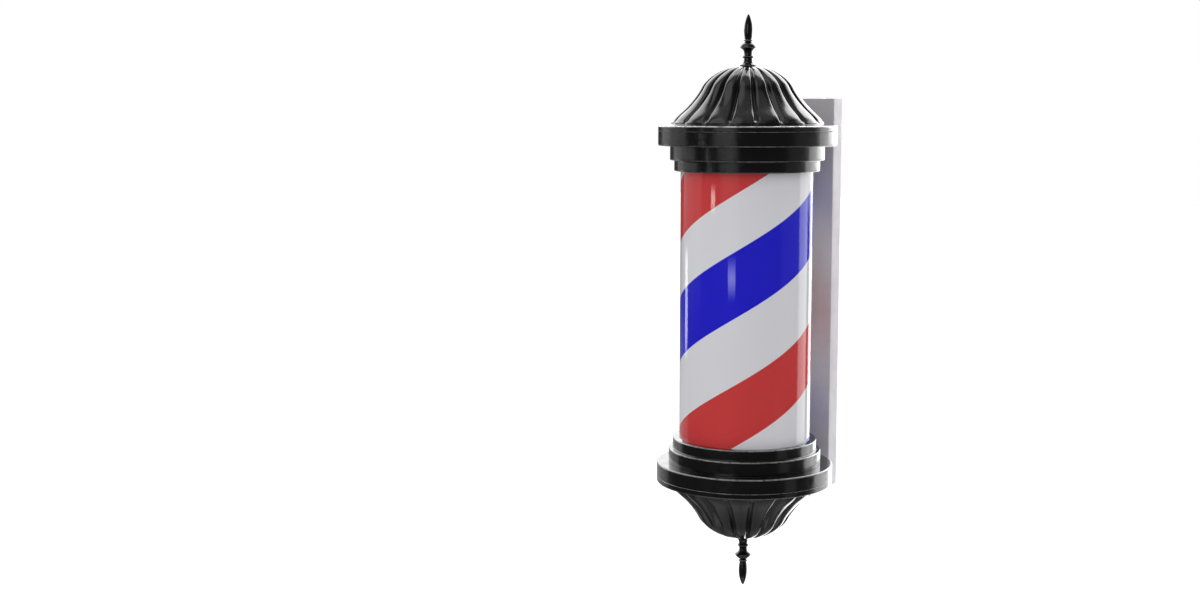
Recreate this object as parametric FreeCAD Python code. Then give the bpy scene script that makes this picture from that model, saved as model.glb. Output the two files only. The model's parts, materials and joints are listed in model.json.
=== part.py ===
import FreeCAD, Part
import math
import os

# Wall-mounted barber pole light, in millimetres.
# The origin is the middle of the wall face. +Z is up, +Y points into the wall and the pole
# stands off the rail towards -Y. The pole is the same above and below its middle plane, so
# each casting is drawn once for the top end, about Z, mirrored for the bottom end, and then
# moved to the pole's place, a little below the rail's middle.

# Driving dimensions of the pole
TOTAL_HEIGHT = 700.0
WINDOW_HEIGHT = 326.0
TUBE_DIAMETER = 160.0
NECK_DIAMETER = 175.6
COLLAR_DIAMETER = 186.0
BAND_DIAMETER = 214.8
DOME_FOOT_DIAMETER = 183.0
NECK_HEIGHT = 13.0
COLLAR_HEIGHT = 17.5
BAND_HEIGHT = 17.0
RIM_HEIGHT = 7.0
DOME_HEIGHT = 68.5
FLUTES = 18
FLUTE_DEPTH = 0.035

# Driving dimensions of the back rail
RAIL_WIDTH = 130.0
RAIL_DEPTH = 25.0
RAIL_HEIGHT = 490.0
RAIL_WALL = 2.0
RAIL_CAP = 2.5
WALL_PLATE = 3.0
WALL_SCREW_SPACING_X = 80.0
WALL_SCREW_SPACING_Z = 400.0
WALL_SCREW_HOLE = 3.0
POLE_STAND_OFF = 110.0
RAIL_RISE = 5.0

# Walls, clearances and small hardware
CASTING_WALL = 4.0
DOME_WALL = 2.5
PLATE_WALL = 3.0
TUBE_WALL = 2.5
DRUM_RADIUS = 76.4
DRUM_WALL = 1.5
FILM = 0.4
RUNNING_GAP = 0.05
STEM_RADIUS = 9.0
SHAFT_RADIUS = 3.0
M3, M4 = 1.5, 2.0
SCREW_SLACK = 0.1
LEAD_RADIUS = 2.4
LEAD_BEND = 6.0

# Places of the small pieces on the rail
SWITCH_LEVELS = (-200.0, -160.0)
SWITCH_TILT = 8.0
SWITCH_PIVOT_X = -RAIL_WIDTH / 2 + 1.0
CAP_SCREW_X = (-45.0, 45.0)
GLAND_X = -25.0

# Levels above the middle plane, worked out from the heights
Z_WINDOW = WINDOW_HEIGHT / 2
Z_NECK = Z_WINDOW + NECK_HEIGHT
Z_COLLAR = Z_NECK + COLLAR_HEIGHT
Z_SEAM = Z_COLLAR + BAND_HEIGHT
Z_RIM = Z_SEAM + RIM_HEIGHT
Z_CROWN = Z_RIM + DOME_HEIGHT
Z_TIP = TOTAL_HEIGHT / 2
Z_PLATE = Z_COLLAR + PLATE_WALL
Z_PLATE_TOP = Z_PLATE + PLATE_WALL
Z_TUBE = Z_COLLAR - 8.5
Z_SEAL = Z_TUBE + 2.0
Z_DRUM = Z_TUBE - 3.0
Z_BRACKET = Z_PLATE_TOP + 5.0

# Radii, worked out from the diameters
R_TUBE = TUBE_DIAMETER / 2
R_NECK = NECK_DIAMETER / 2
R_COLLAR = COLLAR_DIAMETER / 2
R_BAND = BAND_DIAMETER / 2
R_BAND_BORE = R_BAND - CASTING_WALL
R_FOOT = DOME_FOOT_DIAMETER / 2
R_DRUM_BORE = DRUM_RADIUS - FILM - DRUM_WALL

POLE_Y = -(RAIL_DEPTH + POLE_STAND_OFF)
POLE_Z = -RAIL_RISE
RAIL_MID_Y = -RAIL_DEPTH / 2
CORE_X = 13.0
Z_SINK_TOP = Z_WINDOW - 11.0
Z_SINK_END = -Z_WINDOW + 13.0

UP = FreeCAD.Vector(0, 0, 1)
ORIGIN = FreeCAD.Vector(0, 0, 0)


# ---------------------------------------------------------------- general shapes

def turned(outline):
    """Solid of revolution about Z from a closed outline of (radius, height) points."""
    corners = [FreeCAD.Vector(radius, 0, height) for radius, height in outline]
    wire = Part.makePolygon(corners + corners[:1])
    return Part.Face(wire).revolve(ORIGIN, UP, 360)


def rod(radius, low, high, x=0.0, y=0.0):
    """Upright cylinder between two levels."""
    return Part.makeCylinder(radius, high - low, FreeCAD.Vector(x, y, low), UP)


def ring(outer, inner, low, high):
    """Upright tube between two levels."""
    return rod(outer, low, high).cut(rod(inner, low - 1, high + 1))


def rod_along(axis, radius, start, length):
    """Cylinder of the given length from a start point along an axis."""
    return Part.makeCylinder(radius, length, FreeCAD.Vector(*start), FreeCAD.Vector(*axis))


def block(low, high):
    """Box between its lowest and highest corner."""
    size = [b - a for a, b in zip(low, high)]
    return Part.makeBox(*size, FreeCAD.Vector(*low))


def hexagon(across_flats, low, high, x=0.0, y=0.0):
    """Upright hexagonal bar."""
    reach = across_flats / 2 / math.cos(math.pi / 6)
    corners = [FreeCAD.Vector(x + reach * math.cos(math.radians(60 * k)),
                              y + reach * math.sin(math.radians(60 * k)), low) for k in range(6)]
    face = Part.Face(Part.makePolygon(corners + corners[:1]))
    return face.extrude(UP * (high - low))


def around(shape, angles):
    """Separate copies of a shape, turned about Z to each angle."""
    copies = []
    for angle in angles:
        copy = shape.copy()
        copy.rotate(ORIGIN, UP, angle)
        copies.append(copy)
    return copies


def mirrored(shape):
    """The bottom-end twin of a top-end shape."""
    return shape.mirror(ORIGIN, UP)


def both_ends(shapes):
    """Top-end shapes with their bottom-end twins."""
    return shapes + [mirrored(shape) for shape in shapes]


def on_pole(shape):
    """Moves a shape drawn about Z to the pole's place."""
    moved = shape.copy()
    moved.translate(FreeCAD.Vector(0, POLE_Y, POLE_Z))
    return moved


def group(shapes):
    """Identical loose pieces kept together as separate solids."""
    return Part.makeCompound(shapes)


def soften(shape, radius, places):
    """Rounds the circular edges about Z that lie at the given (radius, height) places."""
    edges = []
    for edge in shape.Edges:
        curve = edge.Curve
        if not isinstance(curve, Part.Circle):
            continue
        for place_radius, height in places:
            same_radius = abs(curve.Radius - place_radius) < 0.01
            if same_radius and abs(curve.Center.z - height) < 0.01:
                edges.append(edge)
    return shape.makeFillet(radius, edges)


def screw(thread, low, high, head_radius, head_height, x=0.0, y=0.0):
    """Upright pan-head screw with its head above `high`."""
    shank = rod(thread, low, high, x, y)
    head = rod(head_radius, high, high + head_height, x, y)
    socket = hexagon(thread * 1.5, high + head_height / 2, high + head_height + 1, x, y)
    return shank.fuse(head).cut(socket)


def lead(points, bend, radius):
    """Round cable along straight runs that are joined by tangent arcs of one bend radius."""
    corners = [FreeCAD.Vector(*point) for point in points]
    edges = []
    start = corners[0]
    for before, corner, after in zip(corners, corners[1:], corners[2:]):
        arriving = (corner - before).normalize()
        leaving = (after - corner).normalize()
        turn = arriving.getAngle(leaving)
        reach = bend * math.tan(turn / 2)
        first = corner - arriving * reach
        last = corner + leaving * reach
        bisector = (leaving - arriving).normalize()
        middle = corner + bisector * (bend / math.cos(turn / 2) - bend)
        edges.append(Part.LineSegment(start, first).toShape())
        edges.append(Part.Arc(first, middle, last).toShape())
        start = last
    edges.append(Part.LineSegment(start, corners[-1]).toShape())
    path = Part.Wire(edges)
    direction = (corners[1] - corners[0]).normalize()
    section = Part.Wire(Part.Circle(corners[0], direction, radius).toShape())
    return path.makePipeShell([section], True, False)


# ---------------------------------------------------------------- caps of the pole

def make_collar():
    """Stepped collar that holds the end of the clear tube."""
    body = turned([(R_TUBE + SCREW_SLACK, Z_WINDOW), (R_NECK, Z_WINDOW), (R_NECK, Z_NECK),
                   (R_COLLAR, Z_NECK), (R_COLLAR, Z_COLLAR), (R_TUBE - 3, Z_COLLAR),
                   (R_TUBE - 3, Z_SEAL), (R_TUBE + SCREW_SLACK, Z_SEAL)])
    body = soften(body, 1.2, [(R_NECK, Z_WINDOW), (R_COLLAR, Z_NECK)])
    holes = around(rod(M4, Z_SEAL + 1, Z_COLLAR + 1, R_TUBE + 5), range(30, 390, 60))
    return body.cut(group(holes))


def make_band():
    """Wide band of the cap, with the flange that the plate and the collar bolt to."""
    body = turned([(R_TUBE + 1, Z_COLLAR), (R_BAND, Z_COLLAR), (R_BAND, Z_SEAM - 0.7),
                   (R_BAND - 0.7, Z_SEAM), (R_BAND_BORE, Z_SEAM), (R_BAND_BORE, Z_PLATE),
                   (R_TUBE + 1, Z_PLATE)])
    body = soften(body, 1.5, [(R_BAND, Z_COLLAR)])
    holes = around(rod(M4 + SCREW_SLACK, Z_COLLAR - 1, Z_PLATE + 1, R_TUBE + 5), range(30, 390, 60))
    holes += bracket_holes(M4 + SCREW_SLACK) + [cable_way()] + dome_screws()
    return body.cut(group(holes))


def bracket_holes(radius):
    """The two bolt holes between a cap's band and its bracket."""
    return [rod_along((0, 1, 0), radius, (x, R_BAND_BORE - 8, Z_BRACKET), 40) for x in (-20, 20)]


def cable_way():
    """Hole that leads a cable from the cap into the rail."""
    return rod_along((0, 1, 0), 4.0, (0, R_BAND_BORE - 8, Z_BRACKET), 40)


def dome_screws():
    """The two grub screws that hold the dome's spigot, on the rear half of the band."""
    grub = rod_along((1, 0, 0), M3, (R_BAND_BORE - CASTING_WALL, 0, Z_SEAM - 5), 2 * CASTING_WALL - 0.4)
    return around(grub, (40, 140))


def dome_profile():
    """Smooth ogee from the dome's foot to its crown, as a curve in the XZ plane."""
    stations = [(R_FOOT, Z_RIM + 3.5), (R_FOOT - 1.8, Z_RIM + 6.6), (R_FOOT - 17.6, Z_RIM + 20.9),
                (R_FOOT - 33.6, Z_RIM + 40.0), (R_FOOT - 43.6, Z_RIM + 54.3),
                (R_FOOT - 62.2, Z_RIM + 66.1), (10.0, Z_CROWN)]
    curve = Part.BSplineCurve()
    curve.interpolate([FreeCAD.Vector(radius, 0, height) for radius, height in stations])
    return curve


def fluted_wire(radius, height):
    """Outline of the dome at one level: one shallow arc for each lobe."""
    step = 2 * math.pi / FLUTES
    valley = radius * (1 - FLUTE_DEPTH)

    def point(reach, angle):
        return FreeCAD.Vector(reach * math.cos(angle), reach * math.sin(angle), height)

    arcs = []
    for lobe in range(FLUTES):
        first = lobe * step
        arcs.append(Part.Arc(point(valley, first), point(radius, first + step / 2),
                             point(valley, first + step)).toShape())
    return Part.Wire(arcs)


def make_dome():
    """Fluted cap dome with a flat rim and a spigot that drops into the band."""
    curve = dome_profile()
    low, high = curve.FirstParameter, curve.LastParameter
    levels = 12
    stations = [curve.value(low + (high - low) * k / levels) for k in range(levels + 1)]
    lobes = Part.makeLoft([fluted_wire(at.x, at.z) for at in stations], True, False)
    rim = turned([(0, Z_SEAM), (R_BAND - 0.7, Z_SEAM), (R_BAND, Z_SEAM + 0.7), (R_BAND, Z_RIM - 1.5),
                  (R_BAND - 1.5, Z_RIM), (R_FOOT, Z_RIM), (R_FOOT, Z_RIM + 3.5), (0, Z_RIM + 3.5)])
    spigot = ring(R_BAND_BORE - 0.2, R_BAND_BORE - CASTING_WALL, Z_SEAM - 9, Z_SEAM)
    spigot = spigot.cut(block((-40, 60, Z_SEAM - 10), (40, R_BAND, Z_SEAM + 1)))
    hollow_edge = [(at.x * (1 - FLUTE_DEPTH) - DOME_WALL, at.z - DOME_WALL) for at in stations[:-1]]
    hollow = turned([(0, Z_SEAM - 1), (hollow_edge[0][0], Z_SEAM - 1)] + hollow_edge
                    + [(8, Z_CROWN - CASTING_WALL), (0, Z_CROWN - CASTING_WALL)])
    bore = rod(M3 * 2, Z_CROWN - 10, Z_CROWN + 1)
    return rim.fuse(lobes).cut(hollow).fuse(spigot).cut(bore).cut(group(dome_screws()))


def make_finial():
    """Turned spear finial with a threaded tail."""
    tail = 2 * M3
    half = [(0, Z_CROWN - 14), (tail, Z_CROWN - 14), (tail, Z_CROWN), (5.6, Z_CROWN), (5.2, Z_CROWN + 2.2),
            (10, Z_CROWN + 2.8), (10, Z_CROWN + 3.6), (6.4, Z_CROWN + 5.4), (5.1, Z_CROWN + 9.0),
            (5.3, Z_CROWN + 11.6), (6.8, Z_CROWN + 12.6), (6.8, Z_CROWN + 14.6), (5.3, Z_CROWN + 15.6),
            (5.2, Z_CROWN + 18.0), (6.2, Z_CROWN + 20.2), (10.0, Z_CROWN + 23.6), (10.3, Z_CROWN + 24.4),
            (8.6, Z_CROWN + 27.0), (5.2, Z_CROWN + 30.6), (5.9, Z_CROWN + 31.6), (5.9, Z_CROWN + 33.4),
            (4.6, Z_CROWN + 34.8), (5.5, Z_TIP - 19.0), (4.9, Z_TIP - 12.0), (2.6, Z_TIP - 4.0), (0, Z_TIP)]
    return turned(half)


def make_finial_nut():
    """Thin hexagonal nut that holds the finial inside the crown."""
    low = Z_CROWN - CASTING_WALL - 5.5
    return hexagon(13, low, Z_CROWN - CASTING_WALL - 0.5).cut(rod(2 * M3, low - 1, Z_CROWN))


def make_bracket():
    """Saddle that fills the space between the band and the rail."""
    low, high = Z_COLLAR + 1.5, Z_RIM - 2.5
    saddle = block((-34, POLE_STAND_OFF - 20, low), (34, POLE_STAND_OFF, high))
    saddle = saddle.cut(rod(R_BAND + SCREW_SLACK, low - 1, high + 1))
    holes = bracket_holes(M4) + [cable_way()]
    holes += [rod_along((0, 1, 0), M4, (x, POLE_STAND_OFF - 5, Z_BRACKET), 10) for x in (-28, 28)]
    return saddle.cut(group(holes))


def make_cap_bolts():
    """Bolts from inside the band into the bracket."""
    bolts = []
    for x in (-20, 20):
        seat = math.sqrt(R_BAND_BORE ** 2 - (x + math.copysign(3.5, x)) ** 2) - 0.1
        shank = rod_along((0, 1, 0), M4, (x, seat, Z_BRACKET), POLE_STAND_OFF - seat - 0.3)
        head = rod_along((0, 1, 0), 3.5, (x, seat - 3.2, Z_BRACKET), 3.2)
        bolts.append(shank.fuse(head))
    return both_ends(bolts)


def make_rail_bolts():
    """Bolts from inside the rail into the brackets."""
    bolts = []
    for x in (-28, 28):
        shank = rod_along((0, 1, 0), M4, (x, POLE_STAND_OFF - 4.6, Z_BRACKET), 4.6 + RAIL_WALL)
        head = rod_along((0, 1, 0), 3.5, (x, POLE_STAND_OFF + RAIL_WALL, Z_BRACKET), 3.0)
        bolts.append(shank.fuse(head))
    return both_ends(bolts)


def make_plate(centre_hole):
    """Round plate that lies on the band's flange."""
    disc = rod(R_BAND_BORE - 0.4, Z_PLATE, Z_PLATE_TOP)
    holes = around(rod(M4 + SCREW_SLACK, Z_PLATE - 1, Z_PLATE_TOP + 1, R_TUBE + 5), range(30, 390, 60))
    return disc.cut(group(holes + [rod(centre_hole, Z_PLATE - 1, Z_PLATE_TOP + 1)]))


def make_collar_screws():
    """Screws through the plate and the band's flange into the collar."""
    one = screw(M4, Z_SEAL + 1.5, Z_PLATE_TOP, 3.6, 2.4, R_TUBE + 5)
    return both_ends(around(one, range(30, 390, 60)))


# ---------------------------------------------------------------- lamp inside the drum

def make_stem():
    """Hollow stem that carries the lamp from the top plate."""
    return ring(STEM_RADIUS, STEM_RADIUS - 2.5, Z_SINK_TOP - 15, Z_PLATE_TOP + 8)


def make_stem_nuts():
    """Thin nuts that clamp the stem to the top plate."""
    nuts = []
    for low, high in ((Z_PLATE_TOP, Z_PLATE_TOP + 5), (Z_PLATE - 5, Z_PLATE)):
        nuts.append(hexagon(26, low, high).cut(rod(STEM_RADIUS, low - 1, high + 1)))
    return nuts


def make_heat_sink():
    """Square hollow bar that carries the light strips."""
    bar = block((-CORE_X, -CORE_X, Z_SINK_END), (CORE_X, CORE_X, Z_SINK_TOP))
    bar = bar.cut(rod(STEM_RADIUS, Z_SINK_TOP - 15, Z_SINK_TOP + 1))
    return bar.cut(rod(STEM_RADIUS - 2.5, Z_SINK_END - 1, Z_SINK_TOP + 1))


def make_light_strips():
    """One circuit strip on each side of the heat sink."""
    strip = block((CORE_X, -5, Z_SINK_END + 8), (CORE_X + 1.2, 5, Z_SINK_TOP - 8))
    return around(strip, range(0, 360, 90))


def make_light_chips():
    """Light-emitting chips, evenly spaced along each strip."""
    per_strip = 12
    pitch = (Z_SINK_TOP - Z_SINK_END - 16) / per_strip
    chips = []
    for index in range(per_strip):
        middle = Z_SINK_END + 8 + (index + 0.5) * pitch
        chip = block((CORE_X + 1.2, -1.75, middle - 1.75), (CORE_X + 2.2, 1.75, middle + 1.75))
        chips += around(chip, range(0, 360, 90))
    return chips


# ---------------------------------------------------------------- turning drum and its drive

def make_spider():
    """Three-armed ring that centres the drum's top on the stem."""
    low, high = Z_DRUM - 10, Z_DRUM
    body = ring(R_DRUM_BORE - SCREW_SLACK, R_DRUM_BORE - 5, low, high).fuse(rod(17, low - 2, high))
    arm = block((10, -5, low + 2), (R_DRUM_BORE - 3, 5, high - 2))
    body = body.multiFuse(around(arm, (0, 120, 240)))
    return body.cut(rod(STEM_RADIUS + 4, low - 3, high + 1))


def make_bush():
    """Flanged plain bush between the spider and the stem."""
    low, high = Z_DRUM - 12, Z_DRUM
    sleeve = rod(STEM_RADIUS + 4, low, high).fuse(rod(STEM_RADIUS + 6.5, high, high + 1.5))
    return sleeve.cut(rod(STEM_RADIUS + RUNNING_GAP, low - 1, high + 3))


def make_drum_hub():
    """Disc and boss that carry the drum on the motor's shaft."""
    low = -Z_DRUM
    disc = rod(R_DRUM_BORE - SCREW_SLACK, low, low + 4)
    rim = ring(R_DRUM_BORE - SCREW_SLACK, R_DRUM_BORE - 4, low, low + 10)
    boss = rod(12, low - 10, low + 14)
    windows = around(rod(14, low - 1, low + 5, 46), range(0, 360, 60))
    body = disc.fuse(rim).fuse(boss).cut(group(windows))
    grub_hole = rod_along((1, 0, 0), M3, (0, 0, low - 5), 13)
    return body.cut(rod(SHAFT_RADIUS, low - 11, low + 10)).cut(grub_hole)


def make_drum_screws():
    """Radial screws that hold the drum to the spider and the hub, under the collars."""
    start = R_DRUM_BORE - 3.2
    end = R_DRUM_BORE + DRUM_WALL - 0.2
    screws = []
    for level in (Z_DRUM - 5, -Z_DRUM + 7):
        one = rod_along((1, 0, 0), M3, (start, 0, level), end - start)
        screws += around(one, (60, 180, 300))
    return screws


def make_shaft():
    """Output shaft of the geared motor."""
    return rod(SHAFT_RADIUS, -Z_PLATE_TOP - 12, -Z_DRUM + 8)


def make_grub():
    """Grub screw that locks the drum hub to the shaft."""
    return rod_along((1, 0, 0), M3, (SHAFT_RADIUS + 0.1, 0, -Z_DRUM - 5), 8.0)


def make_gear_case():
    """Gear case with two ears and a boss that passes up through the plate."""
    top = -Z_PLATE_TOP
    case = rod(28, top - 15, top).fuse(rod(7, top, top + PLATE_WALL + 3))
    ears = block((-38, -8, top - 2.5), (38, 8, top))
    body = case.fuse(ears).cut(rod(SHAFT_RADIUS + RUNNING_GAP, top - 12.5, top + 10))
    return body.cut(group([rod(M4, top - 4, top + 1, x) for x in (-33, 33)]))


def make_motor_can():
    """Round can of the synchronous motor."""
    top = -Z_PLATE_TOP - 15
    can = rod(24, top - 26, top)
    return soften(can, 2.0, [(24, top - 26)])


def make_motor_screws():
    """Screws that hold the gear case under the plate."""
    top = -Z_PLATE_TOP
    screws = []
    for x in (-33, 33):
        shank = rod(M4, top - 2.5, top + PLATE_WALL, x)
        screws.append(shank.fuse(rod(3.6, top - 5, top - 2.5, x)))
    return screws


def make_thrust_washer():
    """Washer on top of the gear case's boss."""
    low = -Z_PLATE + 3
    return ring(6.5, SHAFT_RADIUS + 0.4, low, low + 0.8)


# ---------------------------------------------------------------- back rail

def rail_front_holes():
    """Holes in the rail's front for the bracket bolts and the cables."""
    holes = []
    for z in (POLE_Z - Z_BRACKET, POLE_Z + Z_BRACKET):
        for x in (-28, 28):
            holes.append(rod_along((0, 1, 0), M4 + SCREW_SLACK, (x, -RAIL_DEPTH - 5, z), 10))
        holes.append(rod_along((0, 1, 0), 6.0, (0, -RAIL_DEPTH - 5, z), 10))
    return holes


def make_rail():
    """Channel that is open towards the wall."""
    half = RAIL_HEIGHT / 2 - RAIL_CAP
    outside = block((-RAIL_WIDTH / 2, -RAIL_DEPTH, -half), (RAIL_WIDTH / 2, 0, half))
    corners = [edge for edge in outside.Edges if edge.BoundBox.ZLength > 1 and edge.BoundBox.YMin < -1]
    outside = outside.makeFillet(1.5, corners)
    inside = block((-RAIL_WIDTH / 2 + RAIL_WALL, -RAIL_DEPTH + RAIL_WALL, -half - 1),
                   (RAIL_WIDTH / 2 - RAIL_WALL, 1, half + 1))
    cut_outs = [switch_block(level, 6.9, 10.3, -RAIL_WIDTH / 2 - 2, -RAIL_WIDTH / 2 + 4)
                for level in SWITCH_LEVELS]
    return outside.cut(inside).cut(group(rail_front_holes() + cut_outs))


def make_rail_cap():
    """End cap of the rail, with a lip that registers inside the channel."""
    top = RAIL_HEIGHT / 2
    half = RAIL_WIDTH / 2
    cover = block((-half, -RAIL_DEPTH, top - RAIL_CAP), (half, 0, top))
    edges = [edge for edge in cover.Edges if edge.BoundBox.ZLength > 1 and edge.BoundBox.YMin < -1]
    cover = cover.makeFillet(1.5, edges)
    lip = block((-half + RAIL_WALL + 0.2, -RAIL_DEPTH + RAIL_WALL + 0.2, top - RAIL_CAP - 4),
                (half - RAIL_WALL - 0.2, -RAIL_DEPTH + RAIL_WALL + 2.2, top - RAIL_CAP))
    holes = [rod(M4 + SCREW_SLACK, top - 10, top + 1, x, RAIL_MID_Y) for x in CAP_SCREW_X]
    return cover.fuse(lip).cut(group(holes))


def make_wall_plate():
    """Plate that screws to the wall, with a folded tab under each end cap."""
    half_width = RAIL_WIDTH / 2 - RAIL_WALL - 0.2
    top = RAIL_HEIGHT / 2 - RAIL_CAP
    plate = block((-half_width, -WALL_PLATE, -top), (half_width, 0, top))
    tabs = both_ends([block((-50, RAIL_MID_Y - 6, top - WALL_PLATE), (50, -WALL_PLATE, top))])
    plate = plate.multiFuse(tabs)
    holes = both_ends([rod(M4, top - 5, top + 1, x, RAIL_MID_Y) for x in CAP_SCREW_X])
    holes.append(rod(9.5, -top - 1, -top + 5, GLAND_X, RAIL_MID_Y))
    for x in (-WALL_SCREW_SPACING_X / 2, WALL_SCREW_SPACING_X / 2):
        for z in (-WALL_SCREW_SPACING_Z / 2, WALL_SCREW_SPACING_Z / 2):
            holes.append(rod_along((0, 1, 0), WALL_SCREW_HOLE, (x, -WALL_PLATE - 1, z), 10))
    return plate.cut(group(holes))


def make_cap_screws():
    """Screws through the end caps into the wall plate's tabs."""
    top = RAIL_HEIGHT / 2
    return both_ends([screw(M4, top - RAIL_CAP - WALL_PLATE, top, 3.6, 1.6, x, RAIL_MID_Y)
                      for x in CAP_SCREW_X])


def make_driver():
    """Power supply for the lamp and the motor, on the wall plate."""
    body = block((-26, -21.0, -60), (26, -WALL_PLATE, 60))
    ears = block((-26, -WALL_PLATE - 2, -70), (26, -WALL_PLATE, 70))
    holes = [rod_along((0, 1, 0), M3, (0, -10, z), 10) for z in (-65, 65)]
    return body.fuse(ears).cut(group(holes))


def make_driver_screws():
    """Screws that hold the power supply."""
    screws = []
    for z in (-65, 65):
        shank = rod_along((0, -1, 0), M3, (0, -WALL_PLATE, z), 2)
        screws.append(shank.fuse(rod_along((0, -1, 0), 2.8, (0, -WALL_PLATE - 2, z), 2)))
    return screws


def make_terminal_block():
    """Four-way terminal block on the wall plate."""
    body = block((-20, -19, -112), (20, -WALL_PLATE, -98))
    wells = [rod_along((0, 1, 0), 2.4, (x, -20, -105), 6) for x in (-15, -5, 5, 15)]
    return body.cut(group(wells))


def make_gland():
    """Cable gland through the lower end cap: hexagon and dome below, thread above."""
    floor = -RAIL_HEIGHT / 2
    y = RAIL_MID_Y
    hexagon_nut = hexagon(17, floor - 6, floor, GLAND_X, y)
    dome = Part.makeCone(6.2, 8.2, 8, FreeCAD.Vector(GLAND_X, y, floor - 14), UP)
    thread = rod(6.0, floor, floor + 11, GLAND_X, y)
    return hexagon_nut.fuse(dome).fuse(thread).cut(rod(3.6, floor - 15, floor + 12, GLAND_X, y))


def make_gland_nut():
    """Lock nut of the gland, inside the rail."""
    low = -RAIL_HEIGHT / 2 + RAIL_CAP
    nut = hexagon(16, low, low + 4, GLAND_X, RAIL_MID_Y)
    return nut.cut(rod(6.0, low - 1, low + 5, GLAND_X, RAIL_MID_Y))


def make_grommets():
    """Rubber grommets where the cables pass the rail's front."""
    grommets = []
    for z in (POLE_Z - Z_BRACKET, POLE_Z + Z_BRACKET):
        front = -RAIL_DEPTH
        body = rod_along((0, 1, 0), 6.0, (0, front, z), RAIL_WALL)
        body = body.fuse(rod_along((0, 1, 0), 8.0, (0, front + RAIL_WALL, z), 1.5))
        grommets.append(body.cut(rod_along((0, 1, 0), LEAD_RADIUS + 0.3, (0, front - 1, z), 8)))
    return grommets


def make_lamp_lead():
    """Cable from the power supply, through the top bracket, down into the stem."""
    way = POLE_Z + Z_BRACKET
    over = POLE_Z + Z_PLATE_TOP + 25
    return lead([(0, RAIL_MID_Y, 71), (0, RAIL_MID_Y, way), (0, POLE_Y + 30, way), (0, POLE_Y + 14, over),
                 (0, POLE_Y, over), (0, POLE_Y, POLE_Z + Z_SINK_TOP)], LEAD_BEND, LEAD_RADIUS)


def make_motor_lead():
    """Cable from the power supply, through the bottom bracket, to the motor can."""
    way = POLE_Z - Z_BRACKET
    under = POLE_Z - Z_PLATE_TOP - 30
    return lead([(0, RAIL_MID_Y, -113), (0, RAIL_MID_Y, way), (0, POLE_Y + 45, way),
                 (0, POLE_Y + 36, under), (0, POLE_Y + 24.2, under)], LEAD_BEND, LEAD_RADIUS)


# ---------------------------------------------------------------- rocker switches in the rail's side

def switch_block(level, half_depth, half_height, low_x, high_x):
    """Box about a switch's centre line."""
    return block((low_x, RAIL_MID_Y - half_depth, level - half_height),
                 (high_x, RAIL_MID_Y + half_depth, level + half_height))


def make_switch_body(level):
    """Switch housing with its bezel outside the rail and a cavity for the rocker."""
    face = -RAIL_WIDTH / 2
    bezel = switch_block(level, 7.8, 11.8, face - 1.5, face)
    body = switch_block(level, 6.8, 10.2, face, face + 15)
    cavity = switch_block(level, 6.2, 9.1, face - 3, face + 6.5)
    pins = rod_along((0, 1, 0), 1.0 + RUNNING_GAP, (SWITCH_PIVOT_X, RAIL_MID_Y - 6.7, level), 13.4)
    return bezel.fuse(body).cut(cavity).cut(pins)


def make_rocker(level):
    """Rocker key with its two pivot stubs, in its on position."""
    key = switch_block(level, 6.0, 8.3, SWITCH_PIVOT_X - 3, SWITCH_PIVOT_X + 3)
    dish = rod_along((0, 1, 0), 34.0, (SWITCH_PIVOT_X - 36.2, RAIL_MID_Y - 10, level), 20)
    key = key.cut(dish)
    stubs = rod_along((0, 1, 0), 1.0, (SWITCH_PIVOT_X, RAIL_MID_Y - 6.6, level), 13.2)
    key = key.fuse(stubs)
    key.rotate(FreeCAD.Vector(SWITCH_PIVOT_X, RAIL_MID_Y, level), FreeCAD.Vector(0, 1, 0), SWITCH_TILT)
    return key


# ---------------------------------------------------------------- assembly

def pole_parts():
    """Every piece that stands about the pole's axis."""
    top = {"dome": make_dome(), "finial": make_finial(), "finial_nut": make_finial_nut(),
           "band": make_band(), "collar": make_collar(), "bracket": make_bracket(),
           "tube_seal": ring(R_TUBE, R_TUBE - TUBE_WALL, Z_TUBE, Z_SEAL)}
    parts = {}
    for name, shape in top.items():
        parts["top_" + name] = shape
        parts["bottom_" + name] = mirrored(shape)
    motor_holes = group([rod(M4, -Z_PLATE_TOP - 1, -Z_PLATE + 1, x) for x in (-33, 33)])
    parts.update({
        "lamp_plate": make_plate(STEM_RADIUS),
        "motor_plate": mirrored(make_plate(7.0)).cut(motor_holes),
        "collar_screws": group(make_collar_screws()),
        "dome_screws": group(both_ends(dome_screws())),
        "cap_bolts": group(make_cap_bolts()),
        "rail_bolts": group(make_rail_bolts()),
        "outer_tube": ring(R_TUBE, R_TUBE - TUBE_WALL, -Z_TUBE, Z_TUBE),
        "lamp_stem": make_stem(),
        "stem_nuts": group(make_stem_nuts()),
        "heat_sink": make_heat_sink(),
        "light_strips": group(make_light_strips()),
        "light_chips": group(make_light_chips()),
        "drum_tube": ring(DRUM_RADIUS - FILM, R_DRUM_BORE, -Z_DRUM, Z_DRUM).cut(group(make_drum_screws())),
        "striped_film": ring(DRUM_RADIUS, DRUM_RADIUS - FILM, -Z_DRUM, Z_DRUM),
        "drum_spider": make_spider().cut(group(make_drum_screws())),
        "drum_bush": make_bush(),
        "drum_hub": make_drum_hub().cut(group(make_drum_screws())),
        "drum_screws": group(make_drum_screws()),
        "motor_shaft": make_shaft(),
        "hub_grub_screw": make_grub(),
        "gear_case": make_gear_case(),
        "motor_can": make_motor_can(),
        "motor_screws": group(make_motor_screws()),
        "thrust_washer": make_thrust_washer(),
    })
    return {name: on_pole(shape) for name, shape in parts.items()}


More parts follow.
